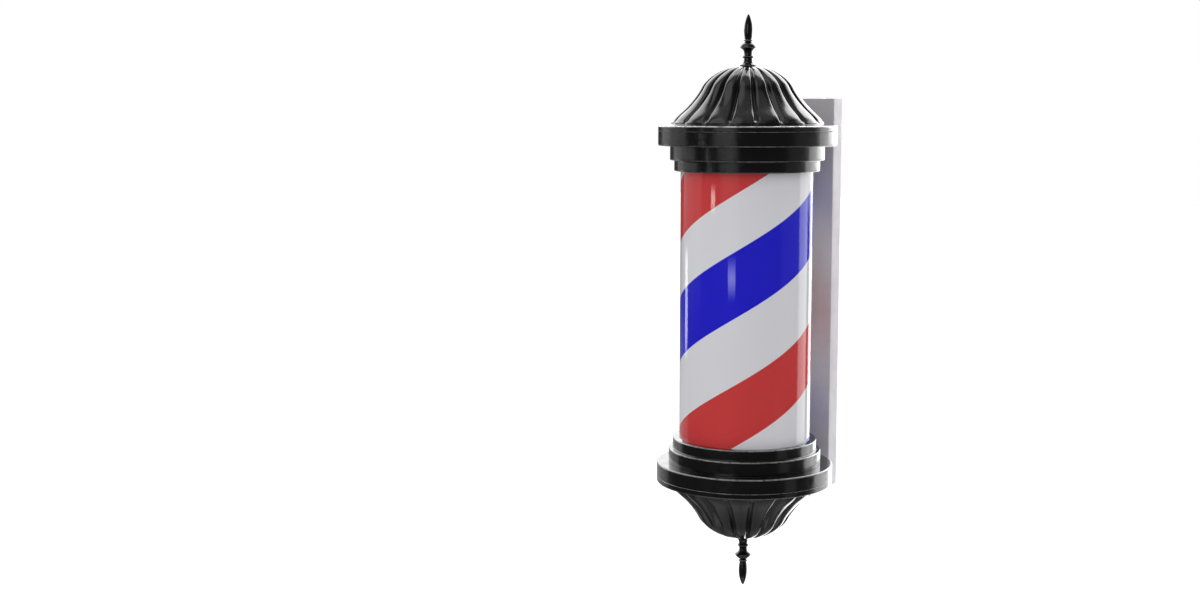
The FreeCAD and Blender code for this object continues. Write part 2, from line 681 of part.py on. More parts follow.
def rail_parts():
    """Every piece of the back rail."""
    upper_cap = make_rail_cap()
    gland_hole = rod(6.0, -RAIL_HEIGHT / 2 - 1, -RAIL_HEIGHT / 2 + 5, GLAND_X, RAIL_MID_Y)
    return {
        "back_rail": make_rail(),
        "rail_top_cap": upper_cap,
        "rail_bottom_cap": mirrored(upper_cap).cut(gland_hole),
        "rail_cap_screws": group(make_cap_screws()),
        "wall_plate": make_wall_plate(),
        "power_supply": make_driver(),
        "power_supply_screws": group(make_driver_screws()),
        "terminal_block": make_terminal_block(),
        "cable_gland": make_gland(),
        "gland_nut": make_gland_nut(),
        "cable_grommets": group(make_grommets()),
        "lamp_lead": make_lamp_lead(),
        "motor_lead": make_motor_lead(),
        "motor_switch_body": make_switch_body(SWITCH_LEVELS[0]),
        "lamp_switch_body": make_switch_body(SWITCH_LEVELS[1]),
        "motor_switch_rocker": make_rocker(SWITCH_LEVELS[0]),
        "lamp_switch_rocker": make_rocker(SWITCH_LEVELS[1]),
    }


os.makedirs("parts", exist_ok=True)
for name, shape in {**pole_parts(), **rail_parts()}.items():
    shape.exportStep("parts/" + name + ".step")
    print(name, len(shape.Solids), shape.isValid(), round(shape.Volume / 1000, 2))
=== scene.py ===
"""Barber pole light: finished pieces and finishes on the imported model, in metres, +Z up, -Y to the front."""
import json
import logging
import math
from dataclasses import dataclass
from enum import Enum
from typing import NamedTuple

import bmesh
import bpy
from mathutils import Matrix, Vector
from mathutils.geometry import interpolate_bezier

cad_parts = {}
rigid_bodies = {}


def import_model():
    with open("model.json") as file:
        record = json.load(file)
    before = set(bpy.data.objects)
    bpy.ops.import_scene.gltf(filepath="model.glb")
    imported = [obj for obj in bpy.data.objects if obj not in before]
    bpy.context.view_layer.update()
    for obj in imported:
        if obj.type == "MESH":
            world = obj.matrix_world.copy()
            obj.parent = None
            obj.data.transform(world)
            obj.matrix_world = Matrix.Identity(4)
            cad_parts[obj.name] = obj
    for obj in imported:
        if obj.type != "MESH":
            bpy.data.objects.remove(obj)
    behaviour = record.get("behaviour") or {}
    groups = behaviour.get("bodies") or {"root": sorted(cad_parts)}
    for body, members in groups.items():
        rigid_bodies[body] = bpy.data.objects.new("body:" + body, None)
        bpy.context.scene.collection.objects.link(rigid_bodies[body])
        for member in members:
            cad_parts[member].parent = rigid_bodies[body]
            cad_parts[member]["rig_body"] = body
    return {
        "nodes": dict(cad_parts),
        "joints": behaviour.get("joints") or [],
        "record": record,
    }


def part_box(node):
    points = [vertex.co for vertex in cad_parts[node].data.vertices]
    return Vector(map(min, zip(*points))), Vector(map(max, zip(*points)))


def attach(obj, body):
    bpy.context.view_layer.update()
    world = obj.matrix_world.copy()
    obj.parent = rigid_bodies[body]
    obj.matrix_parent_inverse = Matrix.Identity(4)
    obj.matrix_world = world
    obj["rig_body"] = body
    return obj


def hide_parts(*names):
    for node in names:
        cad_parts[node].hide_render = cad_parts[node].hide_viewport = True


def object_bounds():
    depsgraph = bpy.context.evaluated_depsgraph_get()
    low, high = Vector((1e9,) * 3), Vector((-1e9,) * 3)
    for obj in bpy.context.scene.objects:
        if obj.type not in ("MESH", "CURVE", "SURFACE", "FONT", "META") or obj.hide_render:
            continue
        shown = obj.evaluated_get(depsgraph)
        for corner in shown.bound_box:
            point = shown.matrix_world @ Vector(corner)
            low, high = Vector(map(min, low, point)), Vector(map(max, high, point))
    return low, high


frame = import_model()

LOG = logging.getLogger("barber_pole")
LOADED_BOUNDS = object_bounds()
MM = 0.001
FULL_TURN = 2 * math.pi
TURNED_STEPS = 160
SHARP_ANGLE = math.radians(38)
BEVEL_ANGLE = math.radians(12)
NARROW_FACE = 1.3
Colour = tuple[float, float, float]
Socket = bpy.types.NodeSocket
Mesh = bmesh.types.BMesh


# ---------------------------------------------------------------- node trees

class Tree:
    """A node tree with short calls that add nodes and join their sockets."""

    def __init__(self, tree: bpy.types.NodeTree) -> None:
        """Wraps a node tree and empties it."""
        self.tree = tree
        self.tree.nodes.clear()

    def add(self, kind: str, inputs: dict | None = None, **settings: object) -> bpy.types.Node:
        """Adds a node.

        Args:
            kind: The node's type without its leading "ShaderNode".
            inputs: Values or sockets for the node's inputs, by name or number.
            settings: The node's own properties.

        Returns:
            The new node.
        """
        node = self.tree.nodes.new("ShaderNode" + kind)
        for name, value in settings.items():
            setattr(node, name, value)
        for name, value in (inputs or {}).items():
            self.feed(node.inputs[name], value)
        return node

    def feed(self, socket: Socket, value: object) -> None:
        """Links a socket to another socket, or sets its value."""
        if isinstance(value, Socket):
            self.tree.links.new(value, socket)
        elif isinstance(value, tuple) and len(value) == 3 and socket.type == "RGBA":
            socket.default_value = (*value, 1.0)
        else:
            socket.default_value = value

    def sum(self, kind: str, first: object, second: object = 0.0) -> Socket:
        """Adds a Math node of the named operation and returns its value."""
        return self.add("Math", {0: first, 1: second}, operation=kind).outputs[0]

    def ramp(self, value: object, low: float, high: float, start: float = 0.0,
             end: float = 1.0) -> Socket:
        """Smoothly maps a value.

        Args:
            value: The value or socket to map.
            low: The value that gives start.
            high: The value that gives end.
            start: What comes out at low.
            end: What comes out at high.

        Returns:
            The mapped value's socket.
        """
        inputs = {"Value": value, "From Min": low, "From Max": high, "To Min": start, "To Max": end}
        return self.add("MapRange", inputs, interpolation_type="SMOOTHSTEP").outputs["Result"]

    def blend(self, share: object, first: object, second: object) -> Socket:
        """Mixes two colours and returns the mixed colour."""
        return self.add("Mix", {0: share, 6: first, 7: second}, data_type="RGBA").outputs[2]

    def noise(self, vector: object, scale: object, detail: float = 3.0,
              roughness: float = 0.5) -> Socket:
        """Adds a Noise Texture and returns its value."""
        inputs = {"Vector": vector, "Scale": scale, "Detail": detail, "Roughness": roughness}
        return self.add("TexNoise", inputs).outputs["Fac"]

    def stretched(self, vector: object, scale: tuple) -> Socket:
        """Returns a vector scaled along each axis by a Mapping node."""
        return self.add("Mapping", {"Vector": vector, "Scale": scale}).outputs[0]


class GroupTree(Tree):
    """A shader node group with named inputs and outputs."""

    def __init__(self, name: str, inputs: dict[str, str], outputs: dict[str, str]) -> None:
        """Makes the group.

        Args:
            name: The group's name.
            inputs: Socket kinds by input name, such as {"Scale": "Float"}.
            outputs: Socket kinds by output name.
        """
        super().__init__(bpy.data.node_groups.new(name, "ShaderNodeTree"))
        for side, sockets in (("INPUT", inputs), ("OUTPUT", outputs)):
            for label, kind in sockets.items():
                self.tree.interface.new_socket(label, in_out=side, socket_type="NodeSocket" + kind)
        self.given = self.tree.nodes.new("NodeGroupInput").outputs
        self.result = self.tree.nodes.new("NodeGroupOutput").inputs

    def give(self, **values: Socket) -> None:
        """Joins sockets to the group's outputs by name."""
        for name, socket in values.items():
            self.feed(self.result[name], socket)


class Effect(Enum):
    """The surface effects that several finishes share, each a node group built once."""

    PEEL = "painted_skin"
    GRAIN = "moulded_grain"
    BRUSH = "drawn_lines"
    SPANGLE = "zinc_spangle"
    DUST = "settled_dust"
    EDGE = "edge_wear"

    def node(self, tree: Tree, **values: object) -> bpy.types.Node:
        """Places the effect in a material.

        Args:
            tree: The material's tree.
            values: Values or sockets for the group's inputs.

        Returns:
            The group node.
        """
        group = bpy.data.node_groups.get(self.value) or EFFECT_MAKERS[self]().tree
        return tree.add("Group", {"Vector": tree.object_place, **values}, node_tree=group)


def painted_skin() -> GroupTree:
    """Paint that has flowed a little before it cured: soft waves, fine nibs and cloudy gloss."""
    group = GroupTree("painted_skin", {"Vector": "Vector", "Wave": "Float", "Nib": "Float"},
                      {"Height": "Float", "Cloud": "Float"})
    place = group.given["Vector"]
    wave = group.noise(place, group.given["Wave"], 1.5)
    nib = group.noise(place, group.given["Nib"], 2.0)
    height = group.sum("MULTIPLY_ADD", nib, 0.18)
    group.feed(height.node.inputs[2], wave)
    cloud = group.ramp(group.noise(place, 38.0, 4.0, 0.6), 0.32, 0.68)
    group.give(Height=height, Cloud=cloud)
    return group


def moulded_grain() -> GroupTree:
    """Spark-eroded mould grain: small rounded pits with a patchy tone."""
    group = GroupTree("moulded_grain", {"Vector": "Vector", "Scale": "Float"},
                      {"Height": "Float", "Tone": "Float"})
    place = group.given["Vector"]
    cells = group.add("TexVoronoi", {"Vector": place, "Scale": group.given["Scale"]}, feature="SMOOTH_F1")
    tone = group.noise(place, 60.0, 5.0, 0.6)
    group.give(Height=cells.outputs["Distance"], Tone=tone)
    return group


def drawn_lines() -> GroupTree:
    """Fine parallel lines that drawing, rolling or brushing leaves in metal."""
    group = GroupTree("drawn_lines", {"Vector": "Vector", "Stretch": "Vector"},
                      {"Height": "Float", "Tone": "Float"})
    along = group.add("VectorMath", {0: group.given["Vector"], 1: group.given["Stretch"]},
                      operation="MULTIPLY").outputs[0]
    lines = group.noise(along, 900.0, 4.0, 0.7)
    bands = group.noise(along, 140.0, 2.0)
    group.give(Height=lines, Tone=group.sum("MULTIPLY", group.sum("ADD", lines, bands), 0.5))
    return group


def zinc_spangle() -> GroupTree:
    """Crystal flakes of a hot-dipped zinc coat, each with its own tone and tilt."""
    group = GroupTree("zinc_spangle", {"Vector": "Vector", "Scale": "Float"},
                      {"Tone": "Float", "Height": "Float"})
    ripple = group.add("TexNoise", {"Vector": group.given["Vector"], "Scale": 160.0}).outputs["Color"]
    shaken = group.add("VectorMath", {0: ripple, 1: (0.012, 0.012, 0.012), 2: group.given["Vector"]},
                       operation="MULTIPLY_ADD").outputs[0]
    flakes = group.add("TexVoronoi", {"Vector": shaken, "Scale": group.given["Scale"]})
    tone = group.add("SeparateColor", {0: flakes.outputs["Color"]}).outputs[0]
    feather = group.noise(group.stretched(group.given["Vector"], (1.0, 1.0, 6.0)), 420.0, 3.0)
    group.give(Tone=tone, Height=group.sum("ADD", group.sum("MULTIPLY", feather, 0.4), tone))
    return group


def settled_dust() -> GroupTree:
    """Dust that has settled where a surface looks up."""
    group = GroupTree("settled_dust", {"Vector": "Vector", "Normal": "Vector", "Amount": "Float"},
                      {"Mask": "Float"})
    up = group.add("SeparateXYZ", {0: group.given["Normal"]}).outputs["Z"]
    flat = group.ramp(up, 0.55, 0.98)
    cloud = group.ramp(group.noise(group.given["Vector"], 55.0, 6.0, 0.65), 0.35, 0.75)
    speck = group.ramp(group.noise(group.given["Vector"], 900.0, 1.0), 0.62, 0.7)
    spread = group.sum("MAXIMUM", group.sum("MULTIPLY", cloud, 0.5), speck)
    group.give(Mask=group.sum("MULTIPLY", group.sum("MULTIPLY", flat, spread), group.given["Amount"]))
    return group


def edge_wear() -> GroupTree:
    """Broken marks along the edges that the piece's edge attribute marks: rubbing on most finishes, a painted
    highlight on the black enamel.
    """
    group = GroupTree("edge_wear", {"Vector": "Vector", "Edge": "Float", "Amount": "Float"},
                      {"Mask": "Float"})
    broken = group.ramp(group.noise(group.given["Vector"], 260.0, 4.0, 0.7), 0.28, 0.62)
    mask = group.sum("MULTIPLY", group.sum("MULTIPLY", group.given["Edge"], broken), group.given["Amount"])
    group.give(Mask=mask)
    return group


EFFECT_MAKERS = {
    Effect.PEEL: painted_skin,
    Effect.GRAIN: moulded_grain,
    Effect.BRUSH: drawn_lines,
    Effect.SPANGLE: zinc_spangle,
    Effect.DUST: settled_dust,
    Effect.EDGE: edge_wear,
}


# ---------------------------------------------------------------- finishes

class MaterialTree(Tree):
    """A material's tree with its Principled shader and the places that patterns read."""

    def __init__(self, name: str) -> None:
        """Makes the material and its shader."""
        self.material = bpy.data.materials.new(name)
        self.material.use_nodes = True
        super().__init__(self.material.node_tree)
        self.object_place = self.add("TexCoord").outputs["Object"]
        self.shader = self.add("BsdfPrincipled")
        self.output = self.add("OutputMaterial", {"Surface": self.shader.outputs[0]})

    def normal(self) -> Socket:
        """Returns the surface's own normal."""
        return self.add("NewGeometry").outputs["Normal"]

    def edge(self) -> Socket:
        """Returns the piece's edge attribute, which is 0 where a piece has none."""
        return self.add("Attribute", attribute_name="edge").outputs["Fac"]

    def dust(self, amount: float) -> Socket:
        """Returns the mask of dust that has settled on the surface."""
        return Effect.DUST.node(self, Normal=self.normal(), Amount=amount).outputs["Mask"]

    def wear_and_highlight(self, amount: object) -> Socket:
        """Returns the mask along the piece's marked edges: rubbing, and on the black enamel a painted
        highlight.
        """
        return Effect.EDGE.node(self, Edge=self.edge(), Amount=amount).outputs["Mask"]

    def raise_surface(self, height: Socket, depth: float) -> None:
        """Bumps the shader's normal by a height that is worth depth metres."""
        bump = self.add("Bump", {"Height": height, "Distance": depth, "Strength": 1.0})
        self.feed(self.shader.inputs["Normal"], bump.outputs[0])

    def set(self, **values: object) -> None:
        """Sets or links the shader's inputs, with _ for each space in their names."""
        for name, value in values.items():
            self.feed(self.shader.inputs[name.replace("_", " ")], value)


@dataclass(frozen=True)
class Finish:
    """A finish that makes its material once."""

    name: str

    def material(self) -> bpy.types.Material:
        """Returns the finish's material, made at the first call."""
        found = bpy.data.materials.get(self.name)
        if found:
            return found
        tree = MaterialTree(self.name)
        self.dress(tree)
        return tree.material

    def dress(self, tree: MaterialTree) -> None:
        """Builds the finish's nodes; each kind of finish has its own."""
        raise NotImplementedError


@dataclass(frozen=True)
class Enamel(Finish):
    """Gloss stove enamel on cast metal."""

    colour: Colour = (0.003, 0.003, 0.0033)
    dust: Colour = (0.16, 0.155, 0.15)
    # Near-white painted highlight laid along the marked edges of the castings.
    painted_highlight: Colour = (0.72, 0.72, 0.73)
    wave_depth: float = 0.00022

    def dress(self, tree: MaterialTree) -> None:
        """Builds deep black paint with soft waves, cloudy gloss, a near-white metallic painted highlight along
        the marked edges, strongest where they face up, and a little dust.
        """
        peel = Effect.PEEL.node(tree, Wave=95.0, Nib=900.0).outputs
        dust = tree.dust(0.16)
        # Painted highlight on the marked edges, stronger on edges that face up as if lit from above; it also
        # turns those edges metallic.
        up = tree.add("SeparateXYZ", {0: tree.normal()}).outputs["Z"]
        wear_and_highlight = tree.wear_and_highlight(tree.ramp(up, -0.3, 0.5, 0.22, 0.85))
        painted = tree.blend(wear_and_highlight, self.colour, self.painted_highlight)
        rough = tree.ramp(peel["Cloud"], 0.0, 1.0, 0.14, 0.24)
        tree.set(Base_Color=tree.blend(dust, painted, self.dust), Roughness=rough, IOR=1.5,
                 Metallic=wear_and_highlight, Coat_Weight=0.4, Coat_Roughness=0.06)
        tree.raise_surface(peel["Height"], self.wave_depth)


@dataclass(frozen=True)
class PowderCoat(Finish):
    """Satin powder coat on extruded metal."""

    colour: Colour = (0.64, 0.615, 0.64)

    def dress(self, tree: MaterialTree) -> None:
        """Builds a fine pebbled satin grey with a faint metallic glow."""
        peel = Effect.PEEL.node(tree, Wave=520.0, Nib=1500.0).outputs
        dust = tree.dust(0.3)
        wear_and_highlight = tree.wear_and_highlight(0.3)
        deep = tuple(0.93 * part for part in self.colour)
        base = tree.blend(peel["Cloud"], self.colour, deep)
        base = tree.blend(wear_and_highlight, base, (0.5, 0.5, 0.52))
        rough = tree.ramp(peel["Cloud"], 0.0, 1.0, 0.34, 0.42)
        tree.set(Base_Color=tree.blend(dust, base, (0.55, 0.54, 0.52)), Roughness=rough,
                 Metallic=0.05, IOR=1.5)
        tree.raise_surface(peel["Height"], 0.00004)


class Lay(Enum):
    """The way that the lines of a metal run, as a stretch of the pattern along each axis."""

    UPRIGHT = (1.0, 1.0, 0.02)
    ACROSS = (0.02, 1.0, 1.0)
    ROUND = (1.0, 1.0, 1.0)


@dataclass(frozen=True)
class Metal(Finish):
    """Bare or plated metal with drawn lines."""

    colour: Colour
    dark: Colour
    lay: Lay
    smooth: float = 0.25
    coarse: float = 0.42

    def dress(self, tree: MaterialTree) -> None:
        """Builds metal whose tone and gloss follow its lines, dulled a little by handling."""
        lines = Effect.BRUSH.node(tree, Stretch=self.lay.value).outputs
        handled = tree.ramp(tree.noise(tree.object_place, 70.0, 5.0, 0.65), 0.4, 0.75)
        wear_and_highlight = tree.wear_and_highlight(0.6)
        base = tree.blend(lines["Tone"], self.dark, self.colour)
        base = tree.blend(tree.sum("MULTIPLY", handled, 0.4), base, self.dark)
        bright = tuple(min(1.0, 1.25 * part) for part in self.colour)
        rough = tree.ramp(lines["Tone"], 0.2, 0.8, self.smooth, self.coarse)
        tree.set(Base_Color=tree.blend(wear_and_highlight, base, bright), Roughness=rough, Metallic=1.0)
        tree.raise_surface(lines["Height"], 0.00002)


@dataclass(frozen=True)
class Galvanised(Finish):
    """Sheet steel with a hot-dipped zinc coat."""

    colour: Colour = (0.42, 0.43, 0.45)
    dark: Colour = (0.31, 0.32, 0.34)

    def dress(self, tree: MaterialTree) -> None:
        """Builds flakes of spangle with dull and bright crystals."""
        flakes = Effect.SPANGLE.node(tree, Scale=95.0).outputs
        stain = tree.ramp(tree.noise(tree.object_place, 18.0, 6.0, 0.6), 0.4, 0.8, 0.0, 0.35)
        base = tree.blend(flakes["Tone"], self.dark, self.colour)
        rough = tree.ramp(flakes["Tone"], 0.0, 1.0, 0.3, 0.5)
        tree.set(Base_Color=tree.blend(stain, base, (0.45, 0.45, 0.45)), Roughness=rough, Metallic=1.0)
        tree.raise_surface(flakes["Height"], 0.00003)


@dataclass(frozen=True)
class Moulded(Finish):
    """Moulded plastic or rubber with mould grain."""

    colour: Colour
    grain: float
    depth: float
    smooth: float = 0.35
    coarse: float = 0.5
    glow: float = 0.0

    def dress(self, tree: MaterialTree) -> None:
        """Builds plastic with fine pits, a patchy tone and paler edges."""
        grain = Effect.GRAIN.node(tree, Scale=self.grain).outputs
        dust = tree.dust(0.25)
        wear_and_highlight = tree.wear_and_highlight(0.25)
        deep = tuple(0.82 * part for part in self.colour)
        pale = tuple(0.75 * part + 0.12 for part in self.colour)
        base = tree.blend(tree.ramp(grain["Tone"], 0.35, 0.65), self.colour, deep)
        base = tree.blend(wear_and_highlight, base, pale)
        rough = tree.ramp(grain["Tone"], 0.3, 0.7, self.smooth, self.coarse)
        tree.set(Base_Color=tree.blend(dust, base, pale), Roughness=rough, IOR=1.48,
                 Subsurface_Weight=self.glow, Subsurface_Scale=0.002)
        tree.raise_surface(grain["Height"], self.depth)


@dataclass(frozen=True)
class CircuitBoard(Finish):
    """White solder mask over copper tracks."""

    def dress(self, tree: MaterialTree) -> None:
        """Builds faint raised tracks under a white lacquer."""
        track = tree.add("TexWave", {"Vector": tree.object_place, "Scale": 240.0, "Distortion": 0.0},
                         bands_direction="DIAGONAL").outputs["Fac"]
        line = tree.ramp(track, 0.55, 0.65)
        tree.set(Base_Color=tree.blend(line, (0.80, 0.80, 0.77), (0.72, 0.70, 0.62)),
                 Roughness=tree.ramp(line, 0.0, 1.0, 0.42, 0.3), IOR=1.5)
        tree.raise_surface(line, 0.00003)


@dataclass(frozen=True)
class ClearAcrylic(Finish):
    """Clear polished acrylic that lets lamps through to what it covers."""

    def dress(self, tree: MaterialTree) -> None:
        """Builds clear plastic with a trace of haze, passed freely by all but direct sight."""
        haze = tree.ramp(tree.noise(tree.object_place, 22.0, 4.0, 0.6), 0.45, 0.8, 0.0, 0.02)
        tree.set(Base_Color=(0.985, 0.992, 0.995), Roughness=haze, IOR=1.46, Transmission_Weight=1.0)
        clear = tree.add("BsdfTransparent", {"Color": (1.0, 1.0, 1.0)}).outputs[0]
        rays = tree.add("LightPath").outputs
        surface = tree.shader.outputs[0]
        for kind in ("Is Glossy Ray", "Is Diffuse Ray", "Is Shadow Ray"):
            surface = tree.add("MixShader", {0: rays[kind], 1: surface, 2: clear}).outputs[0]
        tree.feed(tree.output.inputs["Surface"], surface)


@dataclass(frozen=True)
class StripedFilm(Finish):
    """White film with a red and a blue helical stripe."""

    axis: tuple[float, float, float]
    pitch: float = 0.300
    white: Colour = (0.78, 0.775, 0.80)
    red: Colour = (0.65, 0.042, 0.042)
    blue: Colour = (0.005, 0.004, 0.62)
    red_start: float = 0.666
    red_width: float = 0.247
    blue_start: float = 0.179
    blue_width: float = 0.263
    keyline: float = 0.0009

    def stripe(self, tree: MaterialTree, turn: Socket, start: float,
               width: float) -> Socket:
        """Marks one stripe.

        Args:
            tree: The material's tree.
            turn: The helix's place as a share of its pitch, from 0 to 1.
            start: Where the stripe starts, as a share of the pitch.
            width: The stripe's share of the pitch.

        Returns:
            The distance inside the stripe's edges as a share of the pitch, below 0 outside it.
        """
        from_middle = tree.sum("WRAP", tree.sum("SUBTRACT", turn, start + width / 2), 0.5)
        from_middle.node.inputs[2].default_value = -0.5
        return tree.sum("SUBTRACT", width / 2, tree.sum("ABSOLUTE", from_middle))

    def dress(self, tree: MaterialTree) -> None:
        """Builds the two printed stripes on the drum's own helix, with a thin pale line along each."""
        back = tuple(-part for part in self.axis)
        centred = tree.add("Mapping", {"Vector": tree.object_place, "Location": back}).outputs[0]
        place = tree.add("SeparateXYZ", {0: centred}).outputs
        angle = tree.sum("ARCTAN2", place["Y"], place["X"])
        climb = tree.sum("DIVIDE", place["Z"], self.pitch)
        turn = tree.sum("SUBTRACT", climb, tree.sum("DIVIDE", angle, FULL_TURN))
        soft = 0.00012 / self.pitch
        colour = self.white
        tone = tree.noise(tree.object_place, 30.0, 3.0)
        ink = tree.ramp(tree.noise(tree.object_place, 1400.0, 2.0), 0.35, 0.65, 0.96, 1.0)
        line = self.keyline / self.pitch
        for start, width, paint in ((self.red_start, self.red_width, self.red),
                                    (self.blue_start, self.blue_width, self.blue)):
            inside = self.stripe(tree, turn, start, width)
            rim = tree.ramp(inside, -line - soft, -line + soft)
            colour = tree.blend(rim, colour, (0.80, 0.80, 0.79))
            colour = tree.blend(tree.ramp(inside, -soft, soft), colour, paint)
        printed = tree.add("Mix", {0: 1.0, 6: colour, 7: ink}, data_type="RGBA", blend_type="MULTIPLY")
        tree.set(Base_Color=printed.outputs[2], Roughness=tree.ramp(tone, 0.3, 0.7, 0.3, 0.38), IOR=1.45,
                 Specular_IOR_Level=0.3)
        tree.raise_surface(tree.noise(tree.object_place, 300.0, 2.0), 0.00001)


# ---------------------------------------------------------------- mesh work

class Corner(NamedTuple):
    """One corner of a turned outline: its radius, its height and its rounding."""

    radius: float
    height: float
    rounding: float = 0.0


def rounded(corners: list[Corner], steps: int = 4, closed: bool = True) -> list[Vector]:
    """Rounds an outline's corners with arcs.

    Args:
        corners: The outline's corners in order.
        steps: How many pieces each arc has.
        closed: True if the last corner joins the first.

    Returns:
        The outline's points, radius first and height second.
    """
    points = []
    for index, corner in enumerate(corners):
        place = Vector(corner[:2])
        at_end = not closed and index in (0, len(corners) - 1)
        if corner.rounding == 0 or at_end:
            points.append(place)
            continue
        back = (Vector(corners[index - 1][:2]) - place).normalized()
        ahead = (Vector(corners[(index + 1) % len(corners)][:2]) - place).normalized()
        half = back.angle(ahead) / 2
        reach = corner.rounding / math.tan(half)
        centre = place + (back + ahead).normalized() * (corner.rounding / math.sin(half))
        first = place + back * reach - centre
        last = place + ahead * reach - centre
        arc = [first.slerp(last, step / steps).normalized() for step in range(steps + 1)]
        points += [centre + way * corner.rounding for way in arc]
    return supported(points, closed)


def supported(points: list[Vector], closed: bool, gap: float = 0.6) -> list[Vector]:
    """Adds a point near both ends of each long stretch, so that smooth shading stays flat along it.

    Args:
        points: The outline's points.
        closed: True if the last point joins the first.
        gap: How far from the stretch's ends the new points lie.

    Returns:
        The outline with the new points.
    """
    line = []
    for start, end in zip(points, points[1:] + points[:1]):
        line.append(start)
        way = end - start
        if way.length > 4 * gap and (closed or end is not points[0]):
            line += [start + way.normalized() * gap, end - way.normalized() * gap]
    return line


def flowing(points: list[tuple[float, float]], steps: int = 5) -> list[Vector]:
    """Joins points with one smooth line.

    Args:
        points: The points that the line passes, radius first and height second.
        steps: How many pieces each stretch has.

    Returns:
        The line's points, the first and last given points included.
    """
    places = [Vector(point) for point in points]
    before = [places[0]] + places[:-1]
    after = places[1:] + [places[-1]]
    slopes = [(b - a) / 6 if 0 < i < len(places) - 1 else (b - a) / 3
              for i, (a, b) in enumerate(zip(before, after))]
    line = [places[0]]
    for index in range(len(places) - 1):
        handles = (places[index] + slopes[index], places[index + 1] - slopes[index + 1])
        line += interpolate_bezier(places[index], *handles, places[index + 1], steps + 1)[1:]
    return line


def outline_mesh(outline: list[Vector], closed: bool) -> Mesh:
    """Starts a mesh from an outline in the XZ plane."""
    mesh = bmesh.new()
    points = [mesh.verts.new((point.x, 0.0, point.y)) for point in outline]
    ends = points[1:] + points[:1] if closed else points[1:]
    for start, end in zip(points, ends):
        mesh.edges.new((start, end))
    return mesh


def turned(outline: list[Vector], closed: bool = True, steps: int = TURNED_STEPS) -> Mesh:
    """Turns an outline once about Z.

    Args:
        outline: Points with their radius first and height second, in millimetres.
        closed: True if the last point joins the first; otherwise both ends lie on the axis.
        steps: How many pieces the turn has.

    Returns:
        The closed mesh, its faces outwards.
    """
    mesh = outline_mesh(outline, closed)
    bmesh.ops.spin(mesh, geom=mesh.verts[:] + mesh.edges[:], axis=(0, 0, 1), cent=(0, 0, 0),
                   angle=FULL_TURN, steps=steps, use_merge=True)
    return tidied(mesh)


def tidied(mesh: Mesh) -> Mesh:
    """Merges a mesh's doubles and turns its faces outwards."""
    bmesh.ops.remove_doubles(mesh, verts=mesh.verts, dist=1e-4)
    bmesh.ops.recalc_face_normals(mesh, faces=mesh.faces)
    return mesh


def extruded(mesh: Mesh, faces: list, move: tuple) -> list[bmesh.types.BMVert]:
    """Extrudes faces by a move and returns the new points."""
    made = bmesh.ops.extrude_face_region(mesh, geom=faces)["geom"]
    verts = [item for item in made if isinstance(item, bmesh.types.BMVert)]
    bmesh.ops.translate(mesh, vec=move, verts=verts)
    return verts


def box_mesh(low: tuple, high: tuple) -> Mesh:
    """Makes a box between two corners."""
    mesh = bmesh.new()
    bmesh.ops.create_cube(mesh, size=1.0)
    bmesh.ops.scale(mesh, vec=Vector(high) - Vector(low), verts=mesh.verts)
    bmesh.ops.translate(mesh, vec=(Vector(high) + Vector(low)) / 2, verts=mesh.verts)
    return mesh


def bevelled(mesh: Mesh, width: float, edges: list | None = None, segments: int = 3) -> None:
    """Rounds a mesh's sharp edges.

    Args:
        mesh: The mesh to change.
        width: The rounding's width.
        edges: The edges to round, or None for every edge sharper than 30 degrees.
        segments: How many faces each rounding has.
    """
    limit = math.radians(30)
    if edges is None:
        edges = [edge for edge in mesh.edges if edge.is_manifold and edge.calc_face_angle() > limit]
    bmesh.ops.bevel(mesh, geom=edges, offset=width, offset_type="OFFSET", affect="EDGES",
                    segments=segments, profile=0.5, material=-1, clamp_overlap=True)


def mark_edges(mesh: Mesh, marked_from: float, wear_and_highlight: float) -> None:
    """Writes the edge attribute: the rubbing and painted highlight strength of narrow faces rounding an outer
    edge, 0 elsewhere.

    Args:
        mesh: The mesh, in millimetres.
        marked_from: How far from Z a face must lie to be marked.
        wear_and_highlight: The marked faces' rubbing, and on the black enamel their painted highlight, from 0
            to 1.
    """
    layer = mesh.faces.layers.float.new("edge")
    for face in mesh.faces:
        narrow = min(edge.calc_length() for edge in face.edges) < NARROW_FACE
        bends = sorted(edge.calc_face_angle_signed(0.0) for edge in face.edges if edge.is_manifold)
        rounded_off = len(bends) > 1 and bends[-2] > 0.12 and bends[-1] > 0.2
        far_out = face.calc_center_median().xy.length >= marked_from
        face[layer] = wear_and_highlight if narrow and rounded_off and far_out else 0.0


def linked(name: str, data: bpy.types.ID) -> bpy.types.Object:
    """Adds an object with the given data to the scene."""
    made = bpy.data.objects.new(name, data)
    bpy.context.scene.collection.objects.link(made)
    return made


